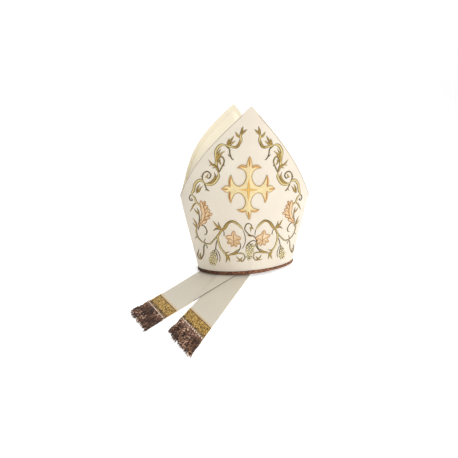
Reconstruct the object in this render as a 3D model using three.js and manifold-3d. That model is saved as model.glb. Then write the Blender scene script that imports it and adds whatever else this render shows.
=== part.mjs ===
// A bishop mitre standing on its rim, with its two lappets laid out on the floor.
// Millimetres, +Z up. The front faces -Y and +X is the viewer's right.
import * as THREE from "three";
import Module from "manifold-3d";
import { mergeVertices } from "three/addons/utils/BufferGeometryUtils.js";

const wasm = await Module();
wasm.setup();

// Cloth
const WALL = 2.6;
const GUSSET_THICKNESS = 1.6;
const LAPPET_THICKNESS = 1.8;
const CLEARANCE = 0.3;

// Heights of the crown above the floor
const CORNER_HEIGHT = 171;
const APEX_HEIGHT = 345;
const APEX_HALF_WIDTH = 1.6;

// The plan of the crown is a superellipse, turned and moved a little at the rim
const PLAN_POWER = 1.76;
const RIM_TWIST = 0.2;
const RIM_SHIFT = 6.5;
const SEAM_HALF_GAP = 0.25;

// Half widths of the crown from the rim to the corners
const WIDTHS = [
  { height: 0, left: 109.5, right: 110.5 },
  { height: 70, left: 121, right: 119 },
  { height: 140, left: 133, right: 128 },
  { height: CORNER_HEIGHT, left: 137.5, right: 133 },
];

// Depths of the two panels in front of and behind the side seams
const DEPTHS = [
  { height: 0, front: 46, back: 66 },
  { height: CORNER_HEIGHT, front: 67, back: 74 },
  { height: APEX_HEIGHT, front: 86, back: 86.7 },
];

// How far each peak leans to the left, and how far its edges bow to either side.
// A bend over 1 puts the widest bow above the middle of the edge.
const PEAKS = {
  front: { lean: 0, bow_left: 18, bow_right: 12.5, bend: 1 },
  back: { lean: 24, bow_left: 26, bow_right: -4, bend: 1.15 },
};

// Lift of the rim over the floor, from the left seam to the right one
const RIM_LIFTS = [
  { across: -1, front: 2.6, back: 2.6 },
  { across: -0.7, front: 4.6, back: 0.4 },
  { across: -0.5, front: 5.4, back: 0 },
  { across: 0, front: 8, back: 0 },
  { across: 0.6, front: 4, back: 0 },
  { across: 1, front: 0, back: 0 },
];

const PANEL_COLUMNS = 24;
const LOWER_ROWS = [0, 0.1, 0.41, 0.82, 1];
const PEAK_ROWS = 12;

// Gusset
const GUSSET_SEAM_DROP = 13;
const GUSSET_VALLEY_HEIGHT = 190;
const GUSSET_STATIONS = 22;
const GUSSET_COLUMNS = 14;
const GUSSET_ROUNDING = 1.25;
const GUSSET_END_INSET = 0.06;
const GUSSET_SEAM_GAP = 0.8;
const GUSSET_END_GAP = 2.4;

// Braid round the rim
const BRAID_HEIGHT = 7.6;
const BRAID_THICKNESS = 1.4;
const BRAID_LIFT = 0.4;

// Lappets, each laid straight out from inside the back rim
const LAPPETS = {
  left: { start_x: 19.6, start_y: 57.4, heading: -131, floor: 293, tab: 20,
    half_start: 26, half_rim: 38, half_end: 31, end_skew: 12 },
  right: { start_x: 26.3, start_y: 59.6, heading: -115.2, floor: 302, tab: 11,
    half_start: 26, half_rim: 30, half_end: 30, end_skew: 28 },
};
const RIM_STATION = 110;
const TURN_LENGTH = 90;
const SKEW_LENGTH = 110;
const OVERLAP_RAMP = 9;
const LAPPET_STATIONS = 22;

// Gold bands and fringes
const BAND_LENGTH = 26;
const BAND_THICKNESS = 0.9;
const BAND_END = 9;
const FRINGE_HEAD = 5;
const FRINGE_HEAD_HEIGHT = 3.4;
const FRINGE_LENGTH = 40;
const LOCK_COUNT = 13;
const LOCK_STEPS = 5;

// Cross
const CROSS_HEIGHT = 202;
const CROSS_RELIEF = 1.1;
// One quarter of the cross's outline, from the tip of a side arm to the tip of a tall one
const CROSS_QUARTER = [
  { x: 50, z: 0 },
  { x: 43, z: 5.6 },
  { x: 39, z: 6.3 },
  { x: 33.8, z: 3.9 },
  { x: 36.9, z: 13 },
  { x: 35.8, z: 20 },
  { x: 32.8, z: 27.4 },
  { x: 29, z: 15 },
  { x: 24, z: 8.2 },
  { x: 18.9, z: 6.3 },
  { x: 12, z: 9 },
  { x: 7, z: 15.8 },
  { x: 4.9, z: 23.7 },
  { x: 6, z: 32 },
  { x: 10, z: 37.4 },
  { x: 21.3, z: 41.2 },
  { x: 16, z: 45.4 },
  { x: 10, z: 46 },
  { x: 4.2, z: 42.6 },
  { x: 4.6, z: 47.5 },
  { x: 0, z: 62 },
];
const QUARTERS = [
  { across: 1, up: 1 },
  { across: -1, up: 1 },
  { across: -1, up: -1 },
  { across: 1, up: -1 },
];

const clamp01 = (value) => Math.min(1, Math.max(0, value));
const mix = (a, b, t) => a + (b - a) * t;
const smooth = (value) => clamp01(value) ** 2 * (3 - 2 * clamp01(value));
const degrees = (angle) => (angle * Math.PI) / 180;

// A column of a table, read between its rows
function readTable(rows, key, column, at) {
  const next = rows.findIndex((row) => row[key] >= at);
  if (next === 0) return rows[0][column];
  if (next < 0) return rows[rows.length - 1][column];
  const low = rows[next - 1];
  const high = rows[next];
  return mix(low[column], high[column], (at - low[key]) / (high[key] - low[key]));
}

// A closed body from grids of points on its two faces
function shellBody(outer, inner) {
  const rows = outer.length;
  const columns = outer[0].length;
  const positions = [...outer.flat(), ...inner.flat()].flatMap((p) => [p.x, p.y, p.z]);
  const faces = [];
  const outerAt = (r, c) => r * columns + c;
  const innerAt = (r, c) => rows * columns + r * columns + c;
  const quad = (a, b, c, d) => faces.push(a, b, c, a, c, d);
  for (let r = 0; r < rows - 1; r += 1) {
    for (let c = 0; c < columns - 1; c += 1) {
      quad(outerAt(r, c), outerAt(r, c + 1), outerAt(r + 1, c + 1), outerAt(r + 1, c));
      quad(innerAt(r, c), innerAt(r + 1, c), innerAt(r + 1, c + 1), innerAt(r, c + 1));
    }
    const last = columns - 1;
    quad(outerAt(r, 0), outerAt(r + 1, 0), innerAt(r + 1, 0), innerAt(r, 0));
    quad(outerAt(r, last), innerAt(r, last), innerAt(r + 1, last), outerAt(r + 1, last));
  }
  for (let c = 0; c < columns - 1; c += 1) {
    const last = rows - 1;
    quad(outerAt(0, c), innerAt(0, c), innerAt(0, c + 1), outerAt(0, c + 1));
    quad(outerAt(last, c), outerAt(last, c + 1), innerAt(last, c + 1), innerAt(last, c));
  }
  return facingOut(positions, faces);
}

// A closed ring from one loop of points per station
function ringBody(stations) {
  const sides = stations[0].length;
  const positions = stations.flat().flatMap((p) => [p.x, p.y, p.z]);
  const faces = [];
  stations.forEach((_, s) => {
    const next = (s + 1) % stations.length;
    for (let k = 0; k < sides; k += 1) {
      const other = (k + 1) % sides;
      const [a, b] = [s * sides + k, s * sides + other];
      const [c, d] = [next * sides + other, next * sides + k];
      faces.push(a, b, c, a, c, d);
    }
  });
  return facingOut(positions, faces);
}

// A closed tube from one loop of points per station, with flat ends
function tubeBody(stations) {
  const sides = stations[0].length;
  const positions = stations.flat().flatMap((p) => [p.x, p.y, p.z]);
  const faces = [];
  for (let s = 0; s < stations.length - 1; s += 1) {
    for (let k = 0; k < sides; k += 1) {
      const other = (k + 1) % sides;
      const [a, b] = [s * sides + k, s * sides + other];
      const [c, d] = [a + sides, b + sides];
      faces.push(a, b, d, a, d, c);
    }
  }
  const end = (stations.length - 1) * sides;
  for (let k = 1; k < sides - 1; k += 1) {
    faces.push(0, k + 1, k);
    faces.push(end, end + k, end + k + 1);
  }
  return facingOut(positions, faces);
}

// Turns the faces over where the body would be inside out
function facingOut(positions, faces) {
  const corner = (index) => new THREE.Vector3().fromArray(positions, index * 3);
  let volume = 0;
  for (let f = 0; f < faces.length; f += 3) {
    volume += corner(faces[f]).dot(corner(faces[f + 1]).cross(corner(faces[f + 2])));
  }
  const turned = volume < 0 ? faces.slice().reverse() : faces;
  const geometry = new THREE.BufferGeometry();
  geometry.setAttribute("position", new THREE.Float32BufferAttribute(positions, 3));
  geometry.setIndex(turned);
  return geometry;
}

function toSolid(geometry) {
  const plain = geometry.clone();
  plain.deleteAttribute("normal");
  plain.deleteAttribute("uv");
  const merged = mergeVertices(plain);
  return new wasm.Manifold(new wasm.Mesh({
    numProp: 3,
    vertProperties: new Float32Array(merged.attributes.position.array),
    triVerts: new Uint32Array(merged.index.array),
  }));
}

function toGeometry(solid) {
  const mesh = solid.getMesh();
  const geometry = new THREE.BufferGeometry();
  geometry.setAttribute("position", new THREE.BufferAttribute(mesh.vertProperties, 3));
  geometry.setIndex(new THREE.BufferAttribute(mesh.triVerts, 1));
  return geometry;
}

// Crown surface

const peakShare = (height) => clamp01((height - CORNER_HEIGHT) / (APEX_HEIGHT - CORNER_HEIGHT));

// The plan angle, from -1 at the left seam to 1 at the right one, of a point x at a height
function angleOf(x, height) {
  const half = readTable(WIDTHS, "height", x < 0 ? "left" : "right", height);
  const share = clamp01(Math.abs(x) / half);
  return Math.sign(x) * (Math.asin(share ** (PLAN_POWER / 2)) / (Math.PI / 2));
}

// The widest plan angle that leaves the gap of the side seam
function seamAngle(panel, height) {
  const depth = readTable(DEPTHS, "height", panel, height);
  const share = (SEAM_HALF_GAP / depth) ** (PLAN_POWER / 2);
  return Math.acos(share) / (Math.PI / 2);
}

// The x of a panel's upper edge, on the left (-1) or the right (1)
function edgeX(panel, height, side) {
  const peak = PEAKS[panel];
  const share = peakShare(height);
  const half = WIDTHS[WIDTHS.length - 1][side < 0 ? "left" : "right"];
  const bow = (side < 0 ? peak.bow_left : peak.bow_right) * Math.sin(Math.PI * share ** peak.bend);
  const reach = half * (1 - share) + bow + APEX_HALF_WIDTH * share;
  return side * reach - peak.lean * share;
}

// The plan angles where a panel starts and ends at a height
function panelSpan(panel, height) {
  const limit = seamAngle(panel, height);
  if (height <= CORNER_HEIGHT) return [-limit, limit];
  const left = angleOf(edgeX(panel, height, -1), height);
  const right = angleOf(edgeX(panel, height, 1), height);
  return [Math.max(left, -limit), Math.min(right, limit)];
}

// A point on the outer face of a panel
function crownPoint(panel, angle, height) {
  const half = readTable(WIDTHS, "height", angle < 0 ? "left" : "right", height);
  const depth = readTable(DEPTHS, "height", panel, height);
  const turn = (angle * Math.PI) / 2;
  const x = Math.sign(angle) * half * Math.abs(Math.sin(turn)) ** (2 / PLAN_POWER);
  const reach = depth * Math.abs(Math.cos(turn)) ** (2 / PLAN_POWER);
  const y = panel === "front" ? -reach : reach;
  const share = 1 - clamp01(height / CORNER_HEIGHT);
  const twist = RIM_TWIST * share;
  return new THREE.Vector3(
    x * Math.cos(twist) - y * Math.sin(twist) + RIM_SHIFT * share,
    x * Math.sin(twist) + y * Math.cos(twist),
    height,
  );
}

// The outward direction of a panel at a point
function crownNormal(panel, angle, height) {
  const step = 0.002;
  const rise = 1;
  const inside = Math.min(Math.abs(angle), 1 - 2 * step) * Math.sign(angle);
  const across = crownPoint(panel, inside + step, height)
    .sub(crownPoint(panel, inside - step, height));
  const up = crownPoint(panel, inside, height + rise)
    .sub(crownPoint(panel, inside, height - rise));
  const normal = across.cross(up).normalize();
  return panel === "front" ? normal : normal.negate();
}

function crownOffset(panel, angle, height, offset) {
  const point = crownPoint(panel, angle, height);
  return point.addScaledVector(crownNormal(panel, angle, height), offset);
}

const rimLift = (panel, angle) => readTable(RIM_LIFTS, "across", panel, angle);

function panelRows() {
  const lower = LOWER_ROWS.map((share) => share * CORNER_HEIGHT);
  const upper = Array.from({ length: PEAK_ROWS }, (_, i) =>
    mix(CORNER_HEIGHT, APEX_HEIGHT, (i + 1) / PEAK_ROWS));
  return [...lower, ...upper];
}

function panelBody(panel) {
  const face = (offset) => panelRows().map((height) => {
    const [left, right] = panelSpan(panel, height);
    return Array.from({ length: PANEL_COLUMNS + 1 }, (_, c) => {
      const angle = mix(left, right, c / PANEL_COLUMNS);
      const raised = Math.max(height, rimLift(panel, angle));
      return crownOffset(panel, angle, raised, offset).setZ(raised);
    });
  });
  return shellBody(face(0), face(-WALL));
}

// The gusset's seam on the inner face of a panel, some way below the panel's edge
function gussetSeam(panel, along, drop) {
  const side = along < 0 ? -1 : 1;
  const top = mix(CORNER_HEIGHT, APEX_HEIGHT, 1 - Math.abs(along));
  const height = top - drop;
  const limit = 1 - GUSSET_END_INSET;
  const angle = Math.max(-limit, Math.min(limit, angleOf(edgeX(panel, top, side), height)));
  const gap = mix(GUSSET_SEAM_GAP, GUSSET_END_GAP, along ** 6);
  return crownOffset(panel, angle, height, -WALL - gap);
}

// One line of the gusset, from the front panel down to the valley and up to the back one
function gussetLine(along) {
  const front = gussetSeam("front", along, GUSSET_SEAM_DROP);
  const back = gussetSeam("back", along, GUSSET_SEAM_DROP);
  const share = 1 - Math.abs(along);
  const valley = mix(CORNER_HEIGHT - GUSSET_SEAM_DROP, GUSSET_VALLEY_HEIGHT, smooth(share * 1.6));
  return Array.from({ length: GUSSET_COLUMNS + 1 }, (_, c) => {
    const across = (2 * c) / GUSSET_COLUMNS - 1;
    const point = front.clone().lerp(back, (across + 1) / 2);
    const rim = across < 0 ? front.z : back.z;
    point.z = mix(valley, rim, Math.abs(across) ** GUSSET_ROUNDING);
    return point;
  });
}

function gussetBody() {
  const alongs = Array.from({ length: GUSSET_STATIONS + 1 }, (_, s) => (2 * s) / GUSSET_STATIONS - 1);
  const upper = alongs.map(gussetLine);
  const lower = upper.map((row, r) => row.map((point, c) => {
    const drop = GUSSET_SEAM_DROP + GUSSET_THICKNESS * 1.4;
    if (c === 0) return gussetSeam("front", alongs[r], drop);
    if (c === row.length - 1) return gussetSeam("back", alongs[r], drop);
    const before = upper[Math.max(r - 1, 0)][c];
    const after = upper[Math.min(r + 1, upper.length - 1)][c];
    const normal = after.clone().sub(before).cross(row[c + 1].clone().sub(row[c - 1])).normalize();
    return point.clone().addScaledVector(normal, -GUSSET_THICKNESS);
  }));
  return shellBody(upper, lower);
}

function braidBody() {
  const angles = Array.from({ length: PANEL_COLUMNS + 1 }, (_, c) => (2 * c) / PANEL_COLUMNS - 1);
  const station = (panel, angle) => {
    const low = rimLift(panel, angle) + BRAID_LIFT;
    const high = low + BRAID_HEIGHT;
    const bevel = BRAID_THICKNESS / 2;
    const outside = CLEARANCE + BRAID_THICKNESS;
    return [
      crownOffset(panel, angle, low, CLEARANCE),
      crownOffset(panel, angle, low, CLEARANCE + bevel),
      crownOffset(panel, angle, low + bevel, outside),
      crownOffset(panel, angle, high - bevel, outside),
      crownOffset(panel, angle, high, CLEARANCE + bevel),
      crownOffset(panel, angle, high, CLEARANCE),
    ];
  };
  const front = angles.map((angle) => station("front", angle));
  const back = angles.slice(1, -1).reverse().map((angle) => station("back", angle));
  return ringBody([...front, ...back]);
}

// Lappets

const headingOf = (lappet) => new THREE.Vector2(
  Math.cos(degrees(lappet.heading)), Math.sin(degrees(lappet.heading)));

function lappetHalf(lappet, along) {
  const nearRim = mix(lappet.half_start, lappet.half_rim, smooth(along / RIM_STATION));
  const past = clamp01((along - RIM_STATION) / (lappet.floor - RIM_STATION));
  return along < RIM_STATION ? nearRim : mix(lappet.half_rim, lappet.half_end, past);
}

// How much later the right side of a lappet's cross line comes, for each mm of half width
function lappetSkew(lappet, along) {
  const heading = headingOf(lappet);
  const wallLine = -heading.x / heading.y;
  const endLine = Math.tan(degrees(lappet.end_skew));
  const fromWall = wallLine * (1 - smooth(along / TURN_LENGTH));
  const skewed = lappet.floor - BAND_END - BAND_LENGTH;
  const toEnd = endLine * smooth(1 + (along - skewed) / SKEW_LENGTH);
  return fromWall + toEnd;
}

// A point of a lappet in plan, with across from -1 on its left side to 1 on its right
function lappetPlan(lappet, along, across) {
  const heading = headingOf(lappet);
  const half = lappetHalf(lappet, along);
  const reach = along + across * half * lappetSkew(lappet, along);
  return new THREE.Vector2(
    lappet.start_x + heading.x * reach - heading.y * across * half,
    lappet.start_y + heading.y * reach + heading.x * across * half,
  );
}

// Distance of a plan point inside the left edge of the lower lappet
function insideLower(plan) {
  const start = lappetPlan(LAPPETS.right, RIM_STATION, -1);
  const end = lappetPlan(LAPPETS.right, LAPPETS.right.floor, -1);
  const line = end.sub(start).normalize();
  const offset = plan.clone().sub(start);
  return line.x * offset.y - line.y * offset.x;
}

const UPPER_RISE = LAPPET_THICKNESS + CLEARANCE;
const EDGE_MARGIN = 1.5;

// Height of the upper lappet's underside where it climbs onto the lower one
function upperLift(plan) {
  return UPPER_RISE * clamp01((insideLower(plan) + EDGE_MARGIN + OVERLAP_RAMP) / OVERLAP_RAMP);
}

const liftOf = (lappet, plan) => (lappet === LAPPETS.left ? upperLift(plan) : 0);

// Cross positions of a lappet's columns, with two that follow the lower lappet's edge
function lappetColumns(lappet, along) {
  if (lappet !== LAPPETS.left) return [-1, -0.33, 0.33, 1];
  const left = insideLower(lappetPlan(lappet, along, -1)) + EDGE_MARGIN;
  const right = insideLower(lappetPlan(lappet, along, 1)) + EDGE_MARGIN;
  const crossing = (level) => -1 + (2 * (level - left)) / (right - left);
  const least = 0.04;
  const foot = Math.max(-1 + least, Math.min(1 - 2 * least, crossing(-OVERLAP_RAMP)));
  const top = Math.max(foot + least, Math.min(1 - least, crossing(0)));
  return [-1, foot, top, 1];
}

function lappetBody(lappet) {
  const sweep = (height) => {
    const tabTop = lappetColumns(lappet, 0).map((across) => {
      const plan = lappetPlan(lappet, 0, across);
      return new THREE.Vector3(plan.x, plan.y - (height ? LAPPET_THICKNESS : 0), lappet.tab);
    });
    const fold = lappetColumns(lappet, 0).map((across) => {
      const plan = lappetPlan(lappet, 0, across);
      const inset = height ? LAPPET_THICKNESS : 0;
      return new THREE.Vector3(plan.x, plan.y - inset, liftOf(lappet, plan) + height);
    });
    const floor = Array.from({ length: LAPPET_STATIONS }, (_, s) => {
      const along = mix(RIM_STATION / 6, lappet.floor, s / (LAPPET_STATIONS - 1));
      return lappetColumns(lappet, along).map((across) => {
        const plan = lappetPlan(lappet, along, across);
        return new THREE.Vector3(plan.x, plan.y, liftOf(lappet, plan) + height);
      });
    });
    return [tabTop, fold, ...floor];
  };
  return shellBody(sweep(LAPPET_THICKNESS), sweep(0));
}

function bandBody(lappet) {
  const face = (height) => [0, 0.5, 1].map((share) => {
    const along = lappet.floor - BAND_END - BAND_LENGTH * (1 - share);
    return lappetColumns(lappet, along).map((across) => {
      const plan = lappetPlan(lappet, along, across);
      const level = liftOf(lappet, plan) + LAPPET_THICKNESS + CLEARANCE + height;
      return new THREE.Vector3(plan.x, plan.y, level);
    });
  });
  return shellBody(face(BAND_THICKNESS), face(0));
}

// One lock of the fringe, from inside the head to its ragged tip
function lockBody(lappet, index) {
  const pitch = 2 / LOCK_COUNT;
  const middle = -1 + pitch * (index + 0.5);
  const half = lappetHalf(lappet, lappet.floor) * pitch * 0.5;
  const length = FRINGE_LENGTH * (0.93 + 0.07 * Math.sin(index * 2.4));
  const sway = 1.8 * Math.sin(index * 1.9 + lappet.heading);
  const heading = headingOf(lappet);
  const stations = Array.from({ length: LOCK_STEPS + 1 }, (_, s) => {
    const share = s / LOCK_STEPS;
    const along = lappet.floor + CLEARANCE + FRINGE_HEAD / 2 + share * (length - FRINGE_HEAD / 2);
    const width = half * mix(1.12, 0.8, share ** 1.5);
    const height = mix(FRINGE_HEAD_HEIGHT - 0.4, 1.3, share ** 1.2) + 0.5 * Math.sin(3.1 * share);
    const root = lappetPlan(lappet, lappet.floor, middle);
    const skewed = along - lappet.floor;
    const side = sway * share * share;
    const centre = new THREE.Vector2(
      root.x + heading.x * skewed - heading.y * side,
      root.y + heading.y * skewed + heading.x * side,
    );
    const at = (across, level) => new THREE.Vector3(
      centre.x - heading.y * across, centre.y + heading.x * across, level);
    return [
      at(-width, 0), at(width, 0), at(width, height * 0.6),
      at(width * 0.4, height), at(-width * 0.4, height), at(-width, height * 0.6),
    ];
  });
  return tubeBody(stations);
}

function fringeBody(lappet) {
  const headAt = (along, across, level) => {
    const root = lappetPlan(lappet, lappet.floor, across);
    const heading = headingOf(lappet);
    const beyond = along + CLEARANCE;
    return new THREE.Vector3(root.x + heading.x * beyond, root.y + heading.y * beyond, level);
  };
  const section = (across) => [
    headAt(0, across, 0), headAt(FRINGE_HEAD, across, 0),
    headAt(FRINGE_HEAD, across, FRINGE_HEAD_HEIGHT), headAt(0, across, FRINGE_HEAD_HEIGHT),
  ];
  const head = toSolid(tubeBody([section(-1), section(1)]));
  const locks = Array.from({ length: LOCK_COUNT }, (_, i) => toSolid(lockBody(lappet, i)));
  return toGeometry(locks.reduce((whole, lock) => whole.add(lock), head));
}

// Cross

// The outline of the whole cross in the plane of the panel
function crossOutline() {
  return QUARTERS.flatMap(({ across, up }) => {
    const rows = across === up ? CROSS_QUARTER : [...CROSS_QUARTER].reverse();
    return rows.slice(0, -1).map((row) => new THREE.Vector2(row.x * across, row.z * up));
  });
}

// Halves every edge that is longer than a limit, so that flat faces follow the bow of the panel
function splitLongEdges(points, faces, limit) {
  const middles = new Map();
  const middleOf = (a, b) => {
    const key = a < b ? `${a}_${b}` : `${b}_${a}`;
    if (!middles.has(key)) {
      middles.set(key, points.length);
      points.push(points[a].clone().lerp(points[b], 0.5));
    }
    return middles.get(key);
  };
  const queue = [...faces];
  const done = [];
  while (queue.length) {
    const face = queue.pop();
    const lengths = face.map((a, k) => points[a].distanceTo(points[face[(k + 1) % 3]]));
    const longest = lengths.indexOf(Math.max(...lengths));
    if (lengths[longest] <= limit) {
      done.push(face);
    } else {
      const [a, b, c] = [0, 1, 2].map((k) => face[(longest + k) % 3]);
      const middle = middleOf(a, b);
      queue.push([a, middle, c], [middle, b, c]);
    }
  }
  return done;
}

// A raised pad on the front panel with a given outline
function reliefBody(outline, centreHeight, relief) {
  const points = outline.map((point) => point.clone());
  const flat = THREE.ShapeUtils.triangulateShape(points, []);
  const faces = splitLongEdges(points, flat, 10);
  const uses = new Map();
  faces.forEach((face) => face.forEach((a, k) => {
    const b = face[(k + 1) % 3];
    uses.set(`${a}_${b}`, [a, b]);
  }));
  const border = [...uses.values()].filter(([a, b]) => !uses.has(`${b}_${a}`));
  const onBorder = new Set(border.flat());
  const lift = (point, offset) => {
    const height = centreHeight + point.y;
    return crownOffset("front", angleOf(point.x, height), height, offset);
  };
  const low = points.map((point) => lift(point, CLEARANCE));
  const high = points.map((point, i) =>
    lift(point, CLEARANCE + relief * (onBorder.has(i) ? 0.6 : 1)));
  const positions = [...high, ...low].flatMap((p) => [p.x, p.y, p.z]);
  const shift = points.length;
  const shell = faces.flatMap(([a, b, c]) => [a, b, c, c + shift, b + shift, a + shift]);
  const walls = border.flatMap(([a, b]) => [a, a + shift, b + shift, a, b + shift, b]);
  return facingOut(positions, [...shell, ...walls]);
}

// Materials
const cloth = new THREE.MeshStandardMaterial({ color: "#e9e0cc", roughness: 0.75, metalness: 0 });
const gussetCloth = new THREE.MeshStandardMaterial({ color: "#f3ead2", roughness: 0.8 });
const lappetCloth = new THREE.MeshStandardMaterial({ color: "#ddd6c2", roughness: 0.75 });
const braid = new THREE.MeshStandardMaterial({ color: "#7a3f1f", roughness: 0.6, metalness: 0.1 });
const goldCloth = new THREE.MeshStandardMaterial({ color: "#a8792b", roughness: 0.45, metalness: 0.5 });
const goldThread = new THREE.MeshStandardMaterial({ color: "#d9a94a", roughness: 0.4, metalness: 0.3 });
const fringeThread = new THREE.MeshStandardMaterial({ color: "#4b2a1d", roughness: 0.6 });

const mitre = new THREE.Group();

function addPiece(name, geometry, material) {
  const mesh = new THREE.Mesh(geometry, material);
  mesh.name = name;
  mitre.add(mesh);
}

addPiece("front_panel", panelBody("front"), cloth);
addPiece("back_panel", panelBody("back"), cloth);
addPiece("crown_gusset", gussetBody(), gussetCloth);
addPiece("rim_braid", braidBody(), braid);
addPiece("embroidered_cross", reliefBody(crossOutline(), CROSS_HEIGHT, CROSS_RELIEF), goldThread);
for (const side of ["left", "right"]) {
  addPiece(`lappet_${side}`, lappetBody(LAPPETS[side]), lappetCloth);
  addPiece(`gold_band_${side}`, bandBody(LAPPETS[side]), goldCloth);
  addPiece(`fringe_${side}`, fringeBody(LAPPETS[side]), fringeThread);
}

// The origin is the middle of the whole, on the floor
const bounds = new THREE.Box3().setFromObject(mitre);
const middle = bounds.getCenter(new THREE.Vector3());
const part = new THREE.Group();
mitre.position.set(-middle.x, -middle.y, -bounds.min.z);
part.add(mitre);

export default part;
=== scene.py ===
"""A bishop mitre standing on its rim, dressed over its CAD solids.

The crown's surface, the lappets' places and the rim's lift are worked out with the same named
sizes as the solids, in millimetres round the crown's own centre. PLACE moves them to the frame.
"""
import math
import random

import bmesh
import bpy
import numpy as np
from mathutils import Matrix, Vector


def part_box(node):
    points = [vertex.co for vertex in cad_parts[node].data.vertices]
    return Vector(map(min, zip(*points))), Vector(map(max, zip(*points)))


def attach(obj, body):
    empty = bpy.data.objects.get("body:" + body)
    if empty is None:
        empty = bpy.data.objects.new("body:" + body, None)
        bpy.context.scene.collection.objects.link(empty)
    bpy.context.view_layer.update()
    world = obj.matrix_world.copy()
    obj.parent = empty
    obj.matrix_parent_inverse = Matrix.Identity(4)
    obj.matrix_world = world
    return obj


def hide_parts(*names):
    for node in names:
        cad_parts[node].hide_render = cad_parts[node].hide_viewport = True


bl_info = {
    "name": "Bishop mitre",
    "version": (1, 0, 0),
    "blender": (4, 5, 0),
    "location": "3D View > Sidebar > Mitre",
    "description": "Cloth panels, gold embroidery, braid, lappets and bullion fringes of a mitre",
    "category": "Object",
}

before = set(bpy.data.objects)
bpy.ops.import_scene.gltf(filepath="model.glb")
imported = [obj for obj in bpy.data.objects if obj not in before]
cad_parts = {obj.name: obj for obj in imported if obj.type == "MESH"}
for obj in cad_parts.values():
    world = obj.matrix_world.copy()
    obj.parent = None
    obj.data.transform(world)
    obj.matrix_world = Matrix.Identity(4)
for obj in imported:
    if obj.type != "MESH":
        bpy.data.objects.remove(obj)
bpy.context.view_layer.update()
BODY = "root"
MM = 0.001

# Sizes that the crown shares with its solids, in mm
WALL = 2.6
GUSSET_THICKNESS = 1.6
LAPPET_THICKNESS = 1.8
CLEARANCE = 0.3
CORNER_HEIGHT = 171.0
APEX_HEIGHT = 345.0
APEX_HALF_WIDTH = 1.6
PLAN_POWER = 1.76
RIM_TWIST = 0.2
RIM_SHIFT = 6.5
SEWN_GAP = 0.02
WIDTHS = {
    "height": (0, 70, 140, CORNER_HEIGHT),
    "left": (109.5, 121, 133, 137.5),
    "right": (110.5, 119, 128, 133),
}
DEPTHS = {
    "height": (0, CORNER_HEIGHT, APEX_HEIGHT),
    "front": (46, 67, 86),
    "back": (66, 74, 86.7),
}
PEAKS = {
    "front": {"lean": 0, "bow_left": 18, "bow_right": 12.5, "bend": 1},
    "back": {"lean": 24, "bow_left": 26, "bow_right": -4, "bend": 1.15},
}
RIM_LIFTS = {
    "across": (-1, -0.7, -0.5, 0, 0.6, 1),
    "front": (2.6, 4.6, 5.4, 8, 4, 0),
    "back": (2.6, 0.4, 0, 0, 0, 0),
}
GUSSET_SEAM_DROP = 13.0
GUSSET_CORNER_DROP = 4.0
GUSSET_VALLEY_HEIGHT = 190.0
GUSSET_ROUNDING = 1.25
GUSSET_END_INSET = 0.02
SEAM_DEPTH = 0.4
SEAM_STEP = 1.1
BRAID_HEIGHT = 7.6
BRAID_LIFT = 0.4
LAPPETS = {
    "left": {
        "start": (19.6, 57.4), "heading": -131.0, "floor": 293.0, "tab": 20.0,
        "half_start": 26.0, "half_rim": 38.0, "half_end": 31.0, "end_skew": 12.0,
    },
    "right": {
        "start": (26.3, 59.6), "heading": -115.2, "floor": 302.0, "tab": 11.0,
        "half_start": 26.0, "half_rim": 30.0, "half_end": 30.0, "end_skew": 28.0,
    },
}
RIM_STATION = 110.0
TURN_LENGTH = 90.0
SKEW_LENGTH = 110.0
OVERLAP_RAMP = 9.0
EDGE_MARGIN = 1.5
UPPER_RISE = LAPPET_THICKNESS + CLEARANCE
BAND_LENGTH = 26.0
BAND_THICKNESS = 0.9
BAND_END = 9.0
FRINGE_HEAD = 5.0
STRAND_START = -1.2
FRINGE_SPREAD = 0.975
FRINGE_LOCKS = 11
CROSS_HEIGHT = 202.0
CROSS_ARMS = {0: 50.0, 90: 62.0, 180: 50.0, 270: 62.0}
CROSS_QUARTER = {
    "side tip": ((50, 0), (46.5, 2.6), (43, 5.6), (39, 6.3), (36, 5.2), (33.8, 3.9)),
    "side horn": ((33.8, 3.9), (36.3, 8.5), (36.9, 13.5), (35.8, 20), (32.8, 27.4)),
    "bite": ((32.8, 27.4), (29.8, 17.5), (27, 11.6), (23.2, 7.7), (18.9, 6.3), (13, 8.3),
             (7.6, 15), (4.9, 23.7), (6, 32), (9.6, 37.2), (14.7, 40.2), (21.3, 41.2)),
    "tall horn": ((21.3, 41.2), (16, 45.4), (11, 46.4), (7, 45.2), (4.2, 42.6)),
    "tall tip": ((4.2, 42.6), (4.6, 47.5), (3.3, 53), (1.6, 58.5), (0, 62)),
}
QUARTERS = ((1, 1), (-1, 1), (-1, -1), (1, -1))
PADS = {
    "cross_pad": {"relief": 1.5, "edge": 0.8, "dome": 2.6},
    "warm_leaves": {"relief": 0.95, "edge": 0.45, "dome": 2.2},
}
CROSS_LEVELS = {"outline": 0.75, "star": 1.45, "horn": 1.42}
HORN_LINES = {
    "side": ((33.6, 6.5), (34.6, 12.5), (34.1, 19), (32.9, 25.8)),
    "tall": ((5.6, 42.6), (11, 43.9), (15.5, 43.2), (20.2, 41.6)),
}

# Degrees past which a sheet's edge is rounded, and past which two faces stay sharp
SHEET_EDGE = 55.0
SMOOTH_EDGE = 50.0
# How dark the uneven places of the cloth are beside the rest
CLOTH_SHADE = 0.93
# The tape's edge turned in under the rim: the plan angles where it shows, and its depth in mm
TURNED_EDGE = {"from": -0.72, "to": 0.34, "depth": 2.9, "stations": 150}
# Flat locks under each fringe, in the darkest tone as painted shade deep in the fringe
SHADE_LOCKS = 18

# The camera, fitted to the crown's corners, peaks and rim: degrees, and mm from the crown's centre
CAMERA = {
    "turn": -1.14, "tilt": 23.22, "roll": 0.17,
    "place": (-47.1, -625.6, 361.0), "lens": 24.34, "sensor": 36,
}
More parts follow.
